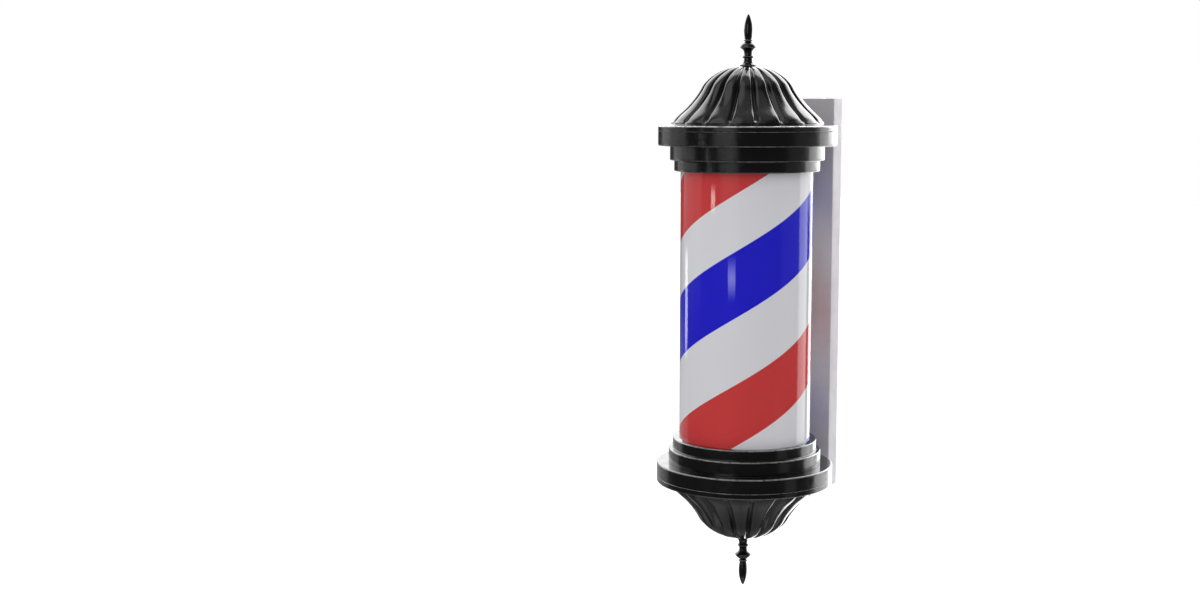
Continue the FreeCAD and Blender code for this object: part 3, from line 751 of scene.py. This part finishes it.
@dataclass
class Piece:
    """A new piece: its mesh, body, finish, slot and the CAD nodes that it stands for."""

    name: str
    mesh: Mesh
    finish: Finish
    slot: str
    body: str = "housing"
    nodes: tuple[str, ...] = ()
    shade: float = SHARP_ANGLE
    # How far out and how strongly edges are marked: rubbing on most finishes, a painted highlight on the black
    # enamel.
    marked_from: float = 0.0
    wear_and_highlight: float = 1.0

    def show(self, at: Matrix = Matrix.Identity(4)) -> bpy.types.Object:
        """Makes the piece an object.

        Args:
            at: Where the mesh goes; its own units are millimetres.

        Returns:
            The object, at the origin, with its place in its mesh.
        """
        mirrored = at.determinant() < 0
        mark_edges(self.mesh, self.marked_from, self.wear_and_highlight)
        bmesh.ops.transform(self.mesh, matrix=at @ Matrix.Scale(MM, 4), verts=self.mesh.verts)
        if mirrored:
            bmesh.ops.reverse_faces(self.mesh, faces=self.mesh.faces)
        data = bpy.data.meshes.new(self.name)
        self.mesh.to_mesh(data)
        self.mesh.free()
        data.shade_smooth()
        data.set_sharp_from_angle(angle=self.shade)
        data.materials.append(self.finish.material())
        shown = linked(self.name, data)
        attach(shown, self.body)
        if self.nodes:
            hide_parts(*self.nodes)
        LOG.info("%s: %d faces on %s", self.name, len(data.polygons), self.body)
        return shown


# ---------------------------------------------------------------- sizes of the CAD nodes

def box_mm(node: str) -> tuple[Vector, Vector]:
    """Returns the lowest and highest corners of a CAD node's box, in millimetres."""
    low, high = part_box(node)
    return low / MM, high / MM


class Span(NamedTuple):
    """A CAD node's reach about the pole: its radius and its levels from the pole's middle, in millimetres."""

    radius: float
    low: float
    high: float


class End(Enum):
    """The two ends of the pole."""

    TOP = "top"
    BOTTOM = "bottom"

    def at(self, middle: Vector) -> Matrix:
        """Returns where a piece drawn for the top end goes at this end."""
        flip = 1 if self is End.TOP else -1
        return Matrix.Translation(middle) @ Matrix.Diagonal((1, 1, flip, 1))


def pole_middle() -> Vector:
    """Returns the middle of the pole's axis, from the clear tube."""
    low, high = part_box("outer_tube")
    return (low + high) / 2


def span(node: str) -> Span:
    """Returns a top-end node's reach about the pole's axis."""
    low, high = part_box(node)
    middle = pole_middle()
    return Span((high.x - low.x) / 2 / MM, (low.z - middle.z) / MM, (high.z - middle.z) / MM)


# ---------------------------------------------------------------- caps

@dataclass
class Cap:
    """One end cap of the pole: fluted dome, finial, band and stepped collar."""

    end: End
    finish: Finish
    lobes: int = 18
    lobe_steps: int = 20
    groove_depth: float = 3.2
    groove_width: float = 4.4
    lobe_rise: float = 2.6
    lobe_phase: float = 2.6
    casting_wall: float = 4.0
    # How strong the painted edge highlight of the castings is, with full strength on the top dome's rims.
    wear_and_highlight: float = 0.45
    top_rim_highlight: float = 1.0

    def __post_init__(self) -> None:
        """Reads the cap's levels and radii from the top end's nodes."""
        self.dome = span("top_dome")
        self.band = span("top_band")
        self.collar = span("top_collar")
        self.finial = span("top_finial")
        self.tube = span("outer_tube")
        self.seal = span("top_tube_seal")
        self.place = self.end.at(pole_middle())
        self.rim_top = self.band.high + 7.0
        self.neck_top = self.collar.low + 13.0
        self.neck_radius = self.collar.radius - 5.2

    def piece(self, part: str, kind: str, mesh: Mesh, marked_from: float = 0.0) -> None:
        """Shows one casting of the cap in place of its CAD node."""
        side = self.end.value
        name = f"{side}_{part}_{kind}"
        # The top dome's rim edges get the full painted highlight; the other castings get a weaker one.
        wear_and_highlight = self.top_rim_highlight if name.startswith("top_dome") else self.wear_and_highlight
        Piece(name, mesh, self.finish, "gloss_black", nodes=(f"{side}_{part}",),
              marked_from=marked_from, wear_and_highlight=wear_and_highlight).show(self.place)

    def skin_line(self) -> list[Vector]:
        """Returns the dome's ogee from its foot to the dip round the finial."""
        rise = [(91.5, 3.5), (84.8, 11.2), (73.9, 20.9), (65.0, 30.5), (57.9, 40.0), (52.2, 49.5),
                (45.2, 56.6), (38.0, 61.6), (29.3, 66.3), (20.0, 69.2), (13.0, 69.7), (8.4, 68.0),
                (5.6, 65.0)]
        return [Vector((point.x, self.rim_top + point.y)) for point in flowing(rise, 4)]

    def flute_weight(self, point: Vector) -> float:
        """Returns how deep the flutes are at a point of the skin line, from 0 to 1."""
        climbed = (point.y - self.rim_top - 3.5) / 5.0
        inner = (point.x - 5.6) / 12.0
        return max(0.0, min(1.0, 0.25 + climbed, inner))

    def build_dome(self) -> None:
        """Casts the dome: one lobe is turned, grooved and copied round."""
        skin = self.skin_line()
        edge, foot = self.dome.radius, self.band.high
        rim = rounded([Corner(5.6, self.rim_top + 55), Corner(50.0, self.rim_top + 38, 12),
                       Corner(84.0, foot), Corner(edge, foot, 0.8), Corner(edge, self.rim_top, 1.5),
                       Corner(skin[0].x, self.rim_top + 1.6, 0.6), Corner(*skin[0])], 3, closed=False)
        mesh = outline_mesh(rim[:-1] + skin, closed=True)
        depth = mesh.verts.layers.float.new("flute")
        mesh.verts.ensure_lookup_table()
        for index, point in enumerate(skin):
            mesh.verts[len(rim) - 1 + index][depth] = self.flute_weight(point)
        lobe = FULL_TURN / self.lobes
        bmesh.ops.spin(mesh, geom=mesh.verts[:] + mesh.edges[:], axis=(0, 0, 1), cent=(0, 0, 0),
                       angle=lobe, steps=self.lobe_steps)
        for vert in mesh.verts:
            self.shape_lobe(vert, vert[depth], lobe)
        bmesh.ops.rotate(mesh, verts=mesh.verts, cent=(0, 0, 0),
                         matrix=Matrix.Rotation(math.radians(self.lobe_phase - 90) - lobe / 2, 3, "Z"))
        bmesh.ops.spin(mesh, geom=mesh.verts[:] + mesh.edges[:] + mesh.faces[:], axis=(0, 0, 1),
                       cent=(0, 0, 0), angle=FULL_TURN - lobe, steps=self.lobes - 1, use_duplicate=True)
        mesh.verts.layers.float.remove(depth)
        self.piece("dome", "casting", tidied(mesh), marked_from=self.dome.radius - 12)

    def shape_lobe(self, vert: bmesh.types.BMVert, weight: float, lobe: float) -> None:
        """Moves one point of a lobe.

        Args:
            vert: The point, still on a plain turned surface.
            weight: The flutes' depth there, from 0 to 1.
            lobe: The lobe's angle.
        """
        radius = math.hypot(vert.co.x, vert.co.y)
        across = 2 * math.atan2(vert.co.y, vert.co.x) / lobe - 1
        spread = math.copysign(1 - (1 - min(1.0, abs(across))) ** 1.7, across)
        half_width = radius * lobe / 2
        groove = min(self.groove_width, 0.42 * half_width)
        inside = max(0.0, 1 - (1 - abs(spread)) * half_width / groove)
        scale = min(1.0, half_width / 7.0)
        sink = self.groove_depth * scale * inside * inside * (3 - 2 * inside)
        swell = self.lobe_rise * scale * (1 - spread * spread)
        reach = radius + weight * (swell - sink - 0.5 * self.lobe_rise * scale)
        angle = (spread + 1) * lobe / 2
        vert.co.x = reach * math.cos(angle)
        vert.co.y = reach * math.sin(angle)

    def build_finial(self) -> None:
        """Turns the spear finial on its flange."""
        foot = self.dome.high
        tip = self.finial.high - foot
        tail = rounded([Corner(0, -14), Corner(3, -14, 0.4), Corner(3, -5), Corner(5.6, -4.2),
                        Corner(5.3, 1.0), Corner(9.8, 2.0, 0.3), Corner(9.9, 3.4, 0.4)], 2, closed=False)
        flare = flowing([(9.5, 3.7), (7.0, 5.4), (5.6, 8.0), (5.2, 11.4)])
        bead = flowing([(6.2, 12.1), (6.8, 13.2), (6.2, 14.3)], 3)
        waist = flowing([(5.1, 15.0), (4.9, 17.6), (5.5, 20.4), (7.6, 22.6), (10.2, 24.2)])
        hood = flowing([(10.1, 24.7), (8.6, 27.2), (6.4, 29.2), (4.0, 30.9)])
        ring = flowing([(3.9, 31.3), (5.5, 32.0), (5.5, 32.9), (4.3, 33.6)], 3)
        spear = flowing([(4.3, 34.4), (5.0, 40.0), (5.3, 46.0), (4.7, 52.5), (3.2, 58.0),
                         (1.5, tip - 1.6), (0, tip)])
        whole = tail + flare + bead + waist + hood + ring + spear
        line = [Vector((point.x, foot + point.y)) for point in whole]
        self.piece("finial", "turning", turned(line, closed=False, steps=48))

    def build_band(self) -> None:
        """Casts the wide band with its inner flange."""
        flange = self.tube.radius + 1
        bore = self.band.radius - self.casting_wall
        top = self.band.low + 3.0
        line = rounded([Corner(flange, self.band.low), Corner(self.band.radius, self.band.low, 1.6),
                        Corner(self.band.radius, self.band.high), Corner(bore, self.band.high),
                        Corner(bore, top), Corner(flange, top)])
        self.piece("band", "casting", turned(line))

    def build_collar(self) -> None:
        """Casts the stepped collar round the clear tube."""
        bore = self.tube.radius + 0.1
        throat = self.tube.radius - 3
        outer, low, high = self.collar
        line = rounded([Corner(bore, low), Corner(self.neck_radius, low, 1.3),
                        Corner(self.neck_radius, self.neck_top, 0.9), Corner(outer, self.neck_top, 1.5),
                        Corner(outer, high, 0.3), Corner(throat, high),
                        Corner(throat, self.seal.high), Corner(bore, self.seal.high)])
        self.piece("collar", "casting", turned(line))

    def build(self) -> None:
        """Builds the cap's three castings and its turned finial."""
        self.build_dome()
        self.build_finial()
        self.build_band()
        self.build_collar()


# ---------------------------------------------------------------- tube and drum

@dataclass
class Barrel:
    """The clear tube and the striped film that turns inside it."""

    clear: Finish
    film: Finish
    tube_wall: float = 2.5
    film_wall: float = 0.4

    def sleeve(self, node: str, wall: float, rounding: float) -> Mesh:
        """Makes a plain sleeve the size of a CAD node with softened ends."""
        size = span(node)
        bore = size.radius - wall
        ends = ((size.radius, size.low), (size.radius, size.high), (bore, size.high), (bore, size.low))
        return turned(rounded([Corner(*end, rounding) for end in ends], 2), steps=192)

    def build(self) -> None:
        """Builds the tube on the housing and the film on the drum."""
        at = Matrix.Translation(pole_middle())
        Piece("clear_tube", self.sleeve("outer_tube", self.tube_wall, 0.4), self.clear, "clear_acrylic",
              nodes=("outer_tube",)).show(at)
        Piece("stripe_film", self.sleeve("striped_film", self.film_wall, 0.08), self.film, "striped_print",
              body="drum", nodes=("striped_film",)).show(at)


# ---------------------------------------------------------------- back rail

@dataclass
class Rail:
    """The back rail: channel, end covers, their screws and the cable gland."""

    coat: Finish
    plastic: Finish
    steel: Finish
    wall: float = 2.0
    corner: float = 1.5
    gland_ribs: int = 16

    def build_channel(self) -> None:
        """Bends the channel, open towards the wall.

        Its side walls are whole: the openings that the CAD rail has for the switches aren't cut.
        """
        low, high = box_mm("back_rail")
        mesh = box_mesh(low, high)
        opened = [face for face in mesh.faces if abs(face.normal.z) > 0.9 or face.normal.y > 0.9]
        bmesh.ops.delete(mesh, geom=opened, context="FACES")
        front = [edge for edge in mesh.edges if edge.is_manifold]
        bevelled(mesh, self.corner, front, segments=5)
        bmesh.ops.recalc_face_normals(mesh, faces=mesh.faces)
        outward = sum((face.normal.dot(face.calc_center_median() - (low + high) / 2) for face in mesh.faces))
        if outward < 0:
            bmesh.ops.reverse_faces(mesh, faces=mesh.faces)
        bmesh.ops.solidify(mesh, geom=mesh.faces[:], thickness=self.wall)
        Piece("rail_channel", tidied(mesh), self.coat, "rail_grey", nodes=("back_rail",),
              shade=BEVEL_ANGLE).show()

    def build_cover(self, node: str, name: str) -> None:
        """Makes an end cover with rounded corners.

        Args:
            node: The CAD cap that it stands for.
            name: The new piece's name.
        """
        low, high = box_mm(node)
        above = high.z > 0
        rail_end = box_mm("back_rail")[1 if above else 0].z
        low.z, high.z = (rail_end, high.z) if above else (low.z, rail_end)
        mesh = box_mesh(low, high)
        upright = [edge for edge in mesh.edges if abs(edge.verts[0].co.z - edge.verts[1].co.z) > 1]
        bevelled(mesh, self.corner, [edge for edge in upright if edge.verts[0].co.y < low.y + 1], segments=5)
        outer = high.z if above else low.z
        ends = [edge for edge in mesh.edges if all(abs(vert.co.z - outer) < 1e-3 for vert in edge.verts)]
        bevelled(mesh, 0.5, ends, segments=2)
        Piece(name, tidied(mesh), self.coat, "rail_grey", nodes=(node,), shade=BEVEL_ANGLE).show()

    def build_screws(self) -> None:
        """Makes the covers' four low-headed screws, each with a small round pit in its head."""
        low, high = box_mm("rail_cap_screws")
        top, bottom = box_mm("rail_top_cap")[1].z, box_mm("rail_bottom_cap")[0].z
        head, depth = 3.6, top - (high.z - 1.6) + 9.0
        screws = bmesh.new()
        for x in (low.x + head, high.x - head):
            for level, flip in ((top, 1), (bottom, -1)):
                line = flowing([(1.6, 0.42), (2.8, 0.32), (3.5, 0.0)], 3)
                shank = [Vector((1.5, -0.4)), Vector((1.5, -depth + 1)), Vector((0, -depth))]
                screw = turned([Vector((0, -0.5)), Vector((0.7, 0.0))] + line + shank, closed=False, steps=32)
                at = Matrix.Translation((x, (low.y + high.y) / 2, level)) @ Matrix.Diagonal((1, 1, flip, 1))
                bmesh.ops.transform(screw, matrix=at, verts=screw.verts)
                data = bpy.data.meshes.new("screw")
                screw.to_mesh(data)
                screws.from_mesh(data)
                bpy.data.meshes.remove(data)
        bmesh.ops.recalc_face_normals(screws, faces=screws.faces)
        Piece("rail_cover_screws", screws, self.steel, "fastener_steel", nodes=("rail_cap_screws",)).show()

    def build_gland(self) -> None:
        """Makes the cable gland: hexagon, ribbed dome nut, plain spigot and open bore."""
        low, high = box_mm("cable_gland")
        x, y, floor = (low.x + high.x) / 2, (low.y + high.y) / 2, box_mm("rail_bottom_cap")[0].z
        line = rounded([Corner(3.6, low.z), Corner(5.6, low.z, 0.5), Corner(7.6, floor - 7.4, 1.0),
                        Corner(7.6, floor - 3), Corner(6.0, floor - 3), Corner(6.0, high.z, 0.4),
                        Corner(3.6, high.z)])
        mesh = turned(line, steps=48)
        hexagon = bmesh.ops.create_circle(mesh, cap_ends=True, segments=6, radius=8.5 / math.cos(math.pi / 6),
                                          matrix=Matrix.Translation((0, 0, floor - 6)))
        self.raise_ring(mesh, hexagon["verts"], 6.0)
        for turn in range(self.gland_ribs):
            angle = FULL_TURN * turn / self.gland_ribs
            rib = bmesh.ops.create_cube(mesh, size=1.0)["verts"]
            bmesh.ops.scale(mesh, vec=(0.9, 1.1, 5.2), verts=rib)
            bmesh.ops.translate(mesh, vec=(7.7, 0, floor - 9.0), verts=rib)
            bmesh.ops.rotate(mesh, verts=rib, cent=(0, 0, 0), matrix=Matrix.Rotation(angle, 3, "Z"))
        bmesh.ops.recalc_face_normals(mesh, faces=mesh.faces)
        Piece("cable_gland_body", mesh, self.plastic, "black_plastic",
              nodes=("cable_gland",)).show(Matrix.Translation((x * MM, y * MM, 0)))

    def raise_ring(self, mesh: Mesh, verts: list, height: float) -> None:
        """Extrudes a flat cap upwards and softens the edges of both its ends."""
        top = extruded(mesh, [verts[0].link_faces[0]], (0, 0, height))
        edges = {edge for vert in verts + top for edge in vert.link_edges}
        bevelled(mesh, 0.45, list(edges), segments=2)

    def build(self) -> None:
        """Builds the channel, its covers and the gland."""
        self.build_channel()
        self.build_cover("rail_top_cap", "rail_top_cover")
        self.build_cover("rail_bottom_cap", "rail_bottom_cover")
        self.build_screws()
        self.build_gland()


@dataclass
class Softened:
    """A copy of a CAD node with its edges broken, as a deburred or moulded piece has them."""

    node: str
    name: str
    finish: Finish
    slot: str
    width: float = 0.4

    def build(self) -> None:
        """Copies, merges and bevels the node."""
        mesh = bmesh.new()
        mesh.from_mesh(frame["nodes"][self.node].data)
        bmesh.ops.scale(mesh, vec=(1 / MM,) * 3, verts=mesh.verts)
        bmesh.ops.remove_doubles(mesh, verts=mesh.verts, dist=1e-3)
        bmesh.ops.dissolve_limit(mesh, angle_limit=math.radians(2), verts=mesh.verts, edges=mesh.edges,
                                 delimit={"NORMAL"})
        bevelled(mesh, self.width, segments=2)
        body = frame["nodes"][self.node]["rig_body"]
        Piece(self.name, mesh, self.finish, self.slot, body=body, nodes=(self.node,),
              shade=BEVEL_ANGLE).show()


# ---------------------------------------------------------------- switches

@dataclass
class Switch:
    """A rocker switch in the rail's side: frame and rocker with its two marks."""

    kind: str
    frame_finish: Finish
    key_finish: Finish
    mark_finish: Finish
    rest_tilt: float = 8.0
    dish_depth: float = 0.85
    rim_width: float = 1.6
    well_depth: float = 6.5
    body_inset: float = 1.0

    def build_frame(self) -> None:
        """Moulds the frame: bezel, well for the rocker and the body behind."""
        low, high = box_mm(f"{self.kind}_switch_body")
        face = box_mm("back_rail")[0].x
        mesh = box_mesh(low, (face, high.y, high.z))
        front = next(item for item in mesh.faces if item.normal.x < -0.9)
        back = next(item for item in mesh.faces if item.normal.x > 0.9)
        for side, inset, reach in ((front, self.rim_width, self.well_depth),
                                   (back, self.body_inset, high.x - face)):
            bmesh.ops.inset_region(mesh, faces=[side], thickness=inset)
            extruded(mesh, [side], (reach, 0, 0))
            bmesh.ops.delete(mesh, geom=[side], context="FACES_ONLY")
        tidied(mesh)
        rim = [edge for edge in mesh.edges if all(vert.co.x < low.x + 0.01 for vert in edge.verts)]
        bevelled(mesh, 0.5, rim, segments=3)
        Piece(f"{self.kind}_switch_frame", mesh, self.frame_finish, "black_plastic",
              nodes=(f"{self.kind}_switch_body",), shade=BEVEL_ANGLE).show()

    def pivot(self) -> Vector:
        """Returns the rocker's pivot, from its joint, in millimetres."""
        joint = next(item for item in frame["joints"] if item["name"] == f"{self.kind}_switch_tilt")
        return Vector(joint["pos_m"]) / MM

    def build_key(self) -> None:
        """Moulds the dished rocker key and its flat marks, tilted as it rests."""
        half_high, half_wide, reach = 8.3, 6.0, 3.0
        dish = flowing([(-reach, half_high), (-reach + self.dish_depth, 0.0), (-reach, -half_high)], 8)
        mesh = outline_mesh([Vector((reach, -half_high)), Vector((reach, half_high))] + dish, closed=True)
        bmesh.ops.contextual_create(mesh, geom=mesh.edges[:])
        bmesh.ops.translate(mesh, vec=(0, -half_wide, 0), verts=mesh.verts)
        extruded(mesh, mesh.faces[:], (0, 2 * half_wide, 0))
        tidied(mesh)
        bevelled(mesh, 0.5, segments=3)
        at = Matrix.Translation(self.pivot() * MM) @ Matrix.Rotation(math.radians(self.rest_tilt), 4, "Y")
        body = f"{self.kind}_rocker"
        Piece(f"{self.kind}_switch_key", mesh, self.key_finish, "black_plastic", body=body,
              nodes=(f"{self.kind}_switch_rocker",)).show(at)
        self.build_mark("on", box_mesh((-2.6, -0.35, 3.4), (-2.42, 0.35, 6.2)), body, at)
        section = [Corner(1.0, 0), Corner(1.6, 0), Corner(1.6, 0.18), Corner(1.0, 0.18)]
        ring = turned(rounded(section), steps=32)
        bmesh.ops.rotate(ring, verts=ring.verts, cent=(0, 0, 0), matrix=Matrix.Rotation(math.pi / 2, 3, "Y"))
        bmesh.ops.translate(ring, vec=(-2.6, 0, -4.8), verts=ring.verts)
        self.build_mark("off", ring, body, at)

    def build_mark(self, state: str, mesh: Mesh, body: str, at: Matrix) -> None:
        """Prints one mark on the key."""
        Piece(f"{self.kind}_switch_mark_{state}", mesh, self.mark_finish, "black_plastic", body=body).show(at)

    def build(self) -> None:
        """Builds the frame and the key."""
        self.build_frame()
        self.build_key()


# ---------------------------------------------------------------- studio

@dataclass(frozen=True)
class Window:
    """A soft-edged bright patch of the room that only glossy surfaces reflect.

    Bearings are measured in degrees round the pole from the camera's side towards the camera's right,
    heights in degrees above the horizon.
    """

    bearings: tuple[float, float]
    heights: tuple[float, float]
    soft: float
    light: float

    def glow(self, tree: Tree, bearing: Socket, height: Socket) -> Socket:
        """Adds the patch to the room's tree.

        Args:
            tree: The room's tree.
            bearing: The ray's bearing in degrees.
            height: The ray's height in degrees.

        Returns:
            The light that the patch gives along the ray.
        """
        (left, right), (low, high) = self.bearings, self.heights
        inputs = {"Bearing": bearing, "Height": height, "Soft": self.soft, "Light": self.light,
                  "Middle": (left + right) / 2, "Half": (right - left) / 2,
                  "Level": (low + high) / 2, "Reach": (high - low) / 2}
        group = bpy.data.node_groups.get("room_window") or room_window().tree
        return tree.add("Group", inputs, node_tree=group).outputs["Light"]


def room_window() -> GroupTree:
    """One bright patch with soft edges, by bearing and height."""
    names = ("Bearing", "Height", "Middle", "Half", "Level", "Reach", "Soft", "Light")
    group = GroupTree("room_window", dict.fromkeys(names, "Float"), {"Light": "Float"})
    given = group.given
    aside = group.sum("WRAP", group.sum("SUBTRACT", given["Bearing"], given["Middle"]), 180.0)
    aside.node.inputs[2].default_value = -180.0
    above = group.sum("SUBTRACT", given["Height"], given["Level"])
    shares = []
    for away, half in ((aside, given["Half"]), (above, given["Reach"])):
        inside = group.sum("SUBTRACT", half, group.sum("ABSOLUTE", away))
        shares.append(group.ramp(group.sum("DIVIDE", inside, given["Soft"]), -0.5, 0.5))
    group.give(Light=group.sum("MULTIPLY", given["Light"], group.sum("MULTIPLY", *shares)))
    return group


@dataclass
class Softbox:
    """A soft panel light aimed at the pole's axis, placed by its bearing round the pole."""

    name: str
    bearing: float
    distance: float
    height: float
    width: float
    power: float

    def place(self, middle: Vector, camera_bearing: float) -> None:
        """Sets the light up; glossy surfaces reflect the room's windows in its stead."""
        angle = math.radians(camera_bearing + self.bearing)
        offset = Vector((math.sin(angle) * self.distance, -math.cos(angle) * self.distance, self.height))
        data = bpy.data.lights.new(self.name, "AREA")
        data.shape = "SQUARE"
        data.size = self.width
        data.energy = self.power
        lamp = linked(self.name, data)
        lamp.location = middle + offset
        lamp.rotation_euler = (-offset).to_track_quat("-Z", "Y").to_euler()
        lamp.visible_glossy = False


@dataclass
class Studio:
    """Camera, floor, room light and panel lights."""

    distance: float = 2.017
    aside: float = 0.1775
    height: float = 0.2412
    turn: float = 31.0
    tilt: float = 6.65
    lens: float = 50.0
    floor_drop: float = 0.4
    floor_size: float = 30.0
    ambient: Colour = (0.78, 0.78, 0.80)
    dim: float = 0.07
    backdrop: float = 2.2
    windows: tuple[Window, ...] = (
        Window((104, 131), (-30, 40), 6, 2.4),
        Window((126, 150), (-2.4, 60), 4, 5.0),
        Window((126, 150), (-30, -12), 4, 3.0),
        Window((142, 182), (-40, 70), 8, 3.4),
        Window((-142, -84), (-5.5, 30), 8, 0.55),
        Window((-180, -118), (-30, -8), 8, 0.45),
        Window((-44, -14), (-1.7, 20), 12, 1.0),
        Window((-56, -38), (-20, -10), 6, 0.12),
        Window((54, 72), (-20, -10), 5, 0.3),
        Window((-64, -56), (-3.5, -2.9), 0.6, 9.0),
        Window((-31, -18), (-6.2, -5.6), 1.2, 6.0),
        Window((-131, -122), (-8.4, -5.0), 1.0, 4.0),
        Window((62, 106), (-9, 30), 10, 0.22),
        Window((-100, -15), (40, 78), 14, 0.9),
        Window((-180, 180), (60, 95), 16, 0.35),
        Window((-180, 180), (-95, -52), 14, 0.3),
        Window((-70, 60), (-66, -40), 12, 0.8),
    )

    def build_camera(self, middle: Vector) -> float:
        """Sets the camera up.

        Args:
            middle: The pole's middle.

        Returns:
            The camera's bearing round the pole, in degrees from -Y towards +X.
        """
        turn = math.radians(self.turn)
        ahead = Vector((-math.sin(turn), math.cos(turn), 0))
        right = Vector((math.cos(turn), math.sin(turn), 0))
        data = bpy.data.cameras.new("view")
        data.lens = self.lens
        camera = linked("view", data)
        camera.location = middle - ahead * self.distance - right * self.aside + Vector((0, 0, self.height))
        camera.rotation_euler = (math.radians(90 - self.tilt), 0, turn)
        bpy.context.scene.camera = camera
        return self.turn - math.degrees(math.atan2(self.aside, self.distance))

    def build_room(self, camera_bearing: float) -> None:
        """Lights the room: even for matt surfaces, with windows and a bright wall behind for glossy ones."""
        world = bpy.data.worlds.new("studio")
        world.use_nodes = True
        world.cycles.sampling_method = "NONE"
        bpy.context.scene.world = world
        tree = Tree(world.node_tree)
        rays = tree.add("LightPath").outputs
        way = tree.add("TexCoord").outputs["Generated"]
        turned_way = tree.add("VectorRotate", {"Vector": way, "Angle": math.radians(-camera_bearing)},
                              rotation_type="Z_AXIS").outputs[0]
        flat = tree.add("SeparateXYZ", {0: turned_way}).outputs
        bearing = tree.sum("DEGREES", tree.sum("ARCTAN2", flat["X"], tree.sum("MULTIPLY", flat["Y"], -1.0)))
        height = tree.sum("DEGREES", tree.sum("ARCSINE", flat["Z"]))
        behind = tree.ramp(flat["Y"], 0.25, 0.5)
        glossy = tree.sum("MULTIPLY", behind, tree.ramp(height, 1.0, 5.0, 0.0, self.backdrop))
        glossy = tree.sum("MAXIMUM", glossy, self.dim)
        for window in self.windows:
            glossy = tree.sum("MAXIMUM", glossy, window.glow(tree, bearing, height))
        seen = tree.blend(rays["Is Glossy Ray"], (1.0, 1.0, 1.0), glossy)
        lit = tree.blend(rays["Is Diffuse Ray"], seen, self.ambient)
        shine = tree.add("Background", {"Color": lit})
        tree.add("OutputWorld", {"Surface": shine.outputs[0]})

    def build_floor(self, level: float) -> None:
        """Lays the pale floor."""
        mesh = bmesh.new()
        bmesh.ops.create_grid(mesh, x_segments=1, y_segments=1, size=self.floor_size / 2,
                              matrix=Matrix.Translation((0, 0, level)))
        data = bpy.data.meshes.new("floor")
        mesh.to_mesh(data)
        mesh.free()
        tree = MaterialTree("floor_white")
        camera_ray = tree.add("LightPath").outputs["Is Camera Ray"]
        tree.set(Base_Color=tree.blend(camera_ray, (0.6, 0.6, 0.6), (0.9, 0.9, 0.9)), Roughness=0.9,
                 Emission_Color=(1.0, 1.0, 1.0), Emission_Strength=tree.sum("MULTIPLY", camera_ray, 0.55))
        data.materials.append(tree.material)
        floor = linked("floor", data)
        floor.visible_glossy = False

    def build(self) -> None:
        """Builds the whole studio."""
        middle = pole_middle()
        bearing = self.build_camera(middle)
        self.build_room(bearing)
        self.build_floor(LOADED_BOUNDS[0].z - self.floor_drop)
        for box in (Softbox("front_panel", 15, 2.0, 0.6, 1.2, 3.0),
                    Softbox("left_panel", -70, 1.4, 0.5, 0.9, 3.0),
                    Softbox("right_panel", 110, 1.4, 0.2, 0.9, 0.6)):
            box.place(middle, bearing)
        bpy.context.scene.view_settings.view_transform = "Standard"


# ---------------------------------------------------------------- everything

def finishes() -> dict[str, Finish]:
    """Returns the finish of each material slot in the record."""
    return {
        "gloss_black": Enamel("black_enamel"),
        "clear_acrylic": ClearAcrylic("polished_acrylic"),
        "striped_print": StripedFilm("helical_print", tuple(pole_middle())),
        "rail_grey": PowderCoat("grey_powder_coat"),
        "drum_white": Moulded("opal_plastic", (0.80, 0.80, 0.78), 2200.0, 0.00001, 0.25, 0.35, glow=0.3),
        "plate_steel": Galvanised("galvanised_sheet"),
        "fastener_steel": Metal("bright_zinc", (0.66, 0.65, 0.61), (0.45, 0.44, 0.42), Lay.ROUND, 0.2, 0.36),
        "sink_aluminium": Metal("extruded_aluminium", (0.78, 0.79, 0.80), (0.58, 0.59, 0.60), Lay.UPRIGHT),
        "motor_steel": Metal("drawn_steel", (0.52, 0.52, 0.53), (0.33, 0.33, 0.34), Lay.UPRIGHT),
        "bronze": Metal("sintered_bronze", (0.62, 0.40, 0.20), (0.36, 0.22, 0.11), Lay.ROUND, 0.4, 0.55),
        "black_plastic": Moulded("black_nylon", (0.022, 0.022, 0.023), 1500.0, 0.00005, 0.4, 0.55),
        "nylon_white": Moulded("natural_nylon", (0.74, 0.72, 0.66), 1200.0, 0.00003, glow=0.2),
        "seal_rubber": Moulded("black_rubber", (0.03, 0.03, 0.03), 700.0, 0.00006, 0.6, 0.8),
        "cable_grey": Moulded("grey_sheath", (0.32, 0.32, 0.33), 900.0, 0.00003, 0.4, 0.5),
        "strip_board": CircuitBoard("solder_mask"),
        "chip_yellow": Moulded("phosphor", (0.85, 0.68, 0.16), 1800.0, 0.00002, 0.2, 0.3),
        "supply_case": Moulded("white_case", (0.78, 0.78, 0.75), 1300.0, 0.00004, 0.4, 0.5),
    }


def dress_nodes(found: dict[str, Finish]) -> None:
    """Gives each CAD node the finish of its slot."""
    for part in frame["record"]["subparts"]:
        data = frame["nodes"][part["node"]].data
        data.materials.clear()
        data.materials.append(found[part["material_slot"]].material())
        LOG.info("%s: %s", part["node"], part["material_slot"])


def main() -> None:
    """Builds the studio, the finishes and every new piece."""
    logging.basicConfig(level=logging.INFO, format="%(name)s %(message)s")
    found = finishes()
    Studio().build()
    dress_nodes(found)
    black = found["gloss_black"]
    for end in End:
        Cap(end, black).build()
    Barrel(found["clear_acrylic"], found["striped_print"]).build()
    plastic = found["black_plastic"]
    Rail(found["rail_grey"], plastic, found["fastener_steel"]).build()
    for end in End:
        Softened(f"{end.value}_bracket", f"{end.value}_saddle", black, "gloss_black", 0.8).build()
    Softened("wall_plate", "wall_sheet", found["plate_steel"], "plate_steel", 0.3).build()
    white = Moulded("mark_white", (0.7, 0.7, 0.7), 1500.0, 0.00001)
    for kind in ("motor", "lamp"):
        Switch(kind, plastic, plastic, white).build()


if __name__ == "__main__":
    main()
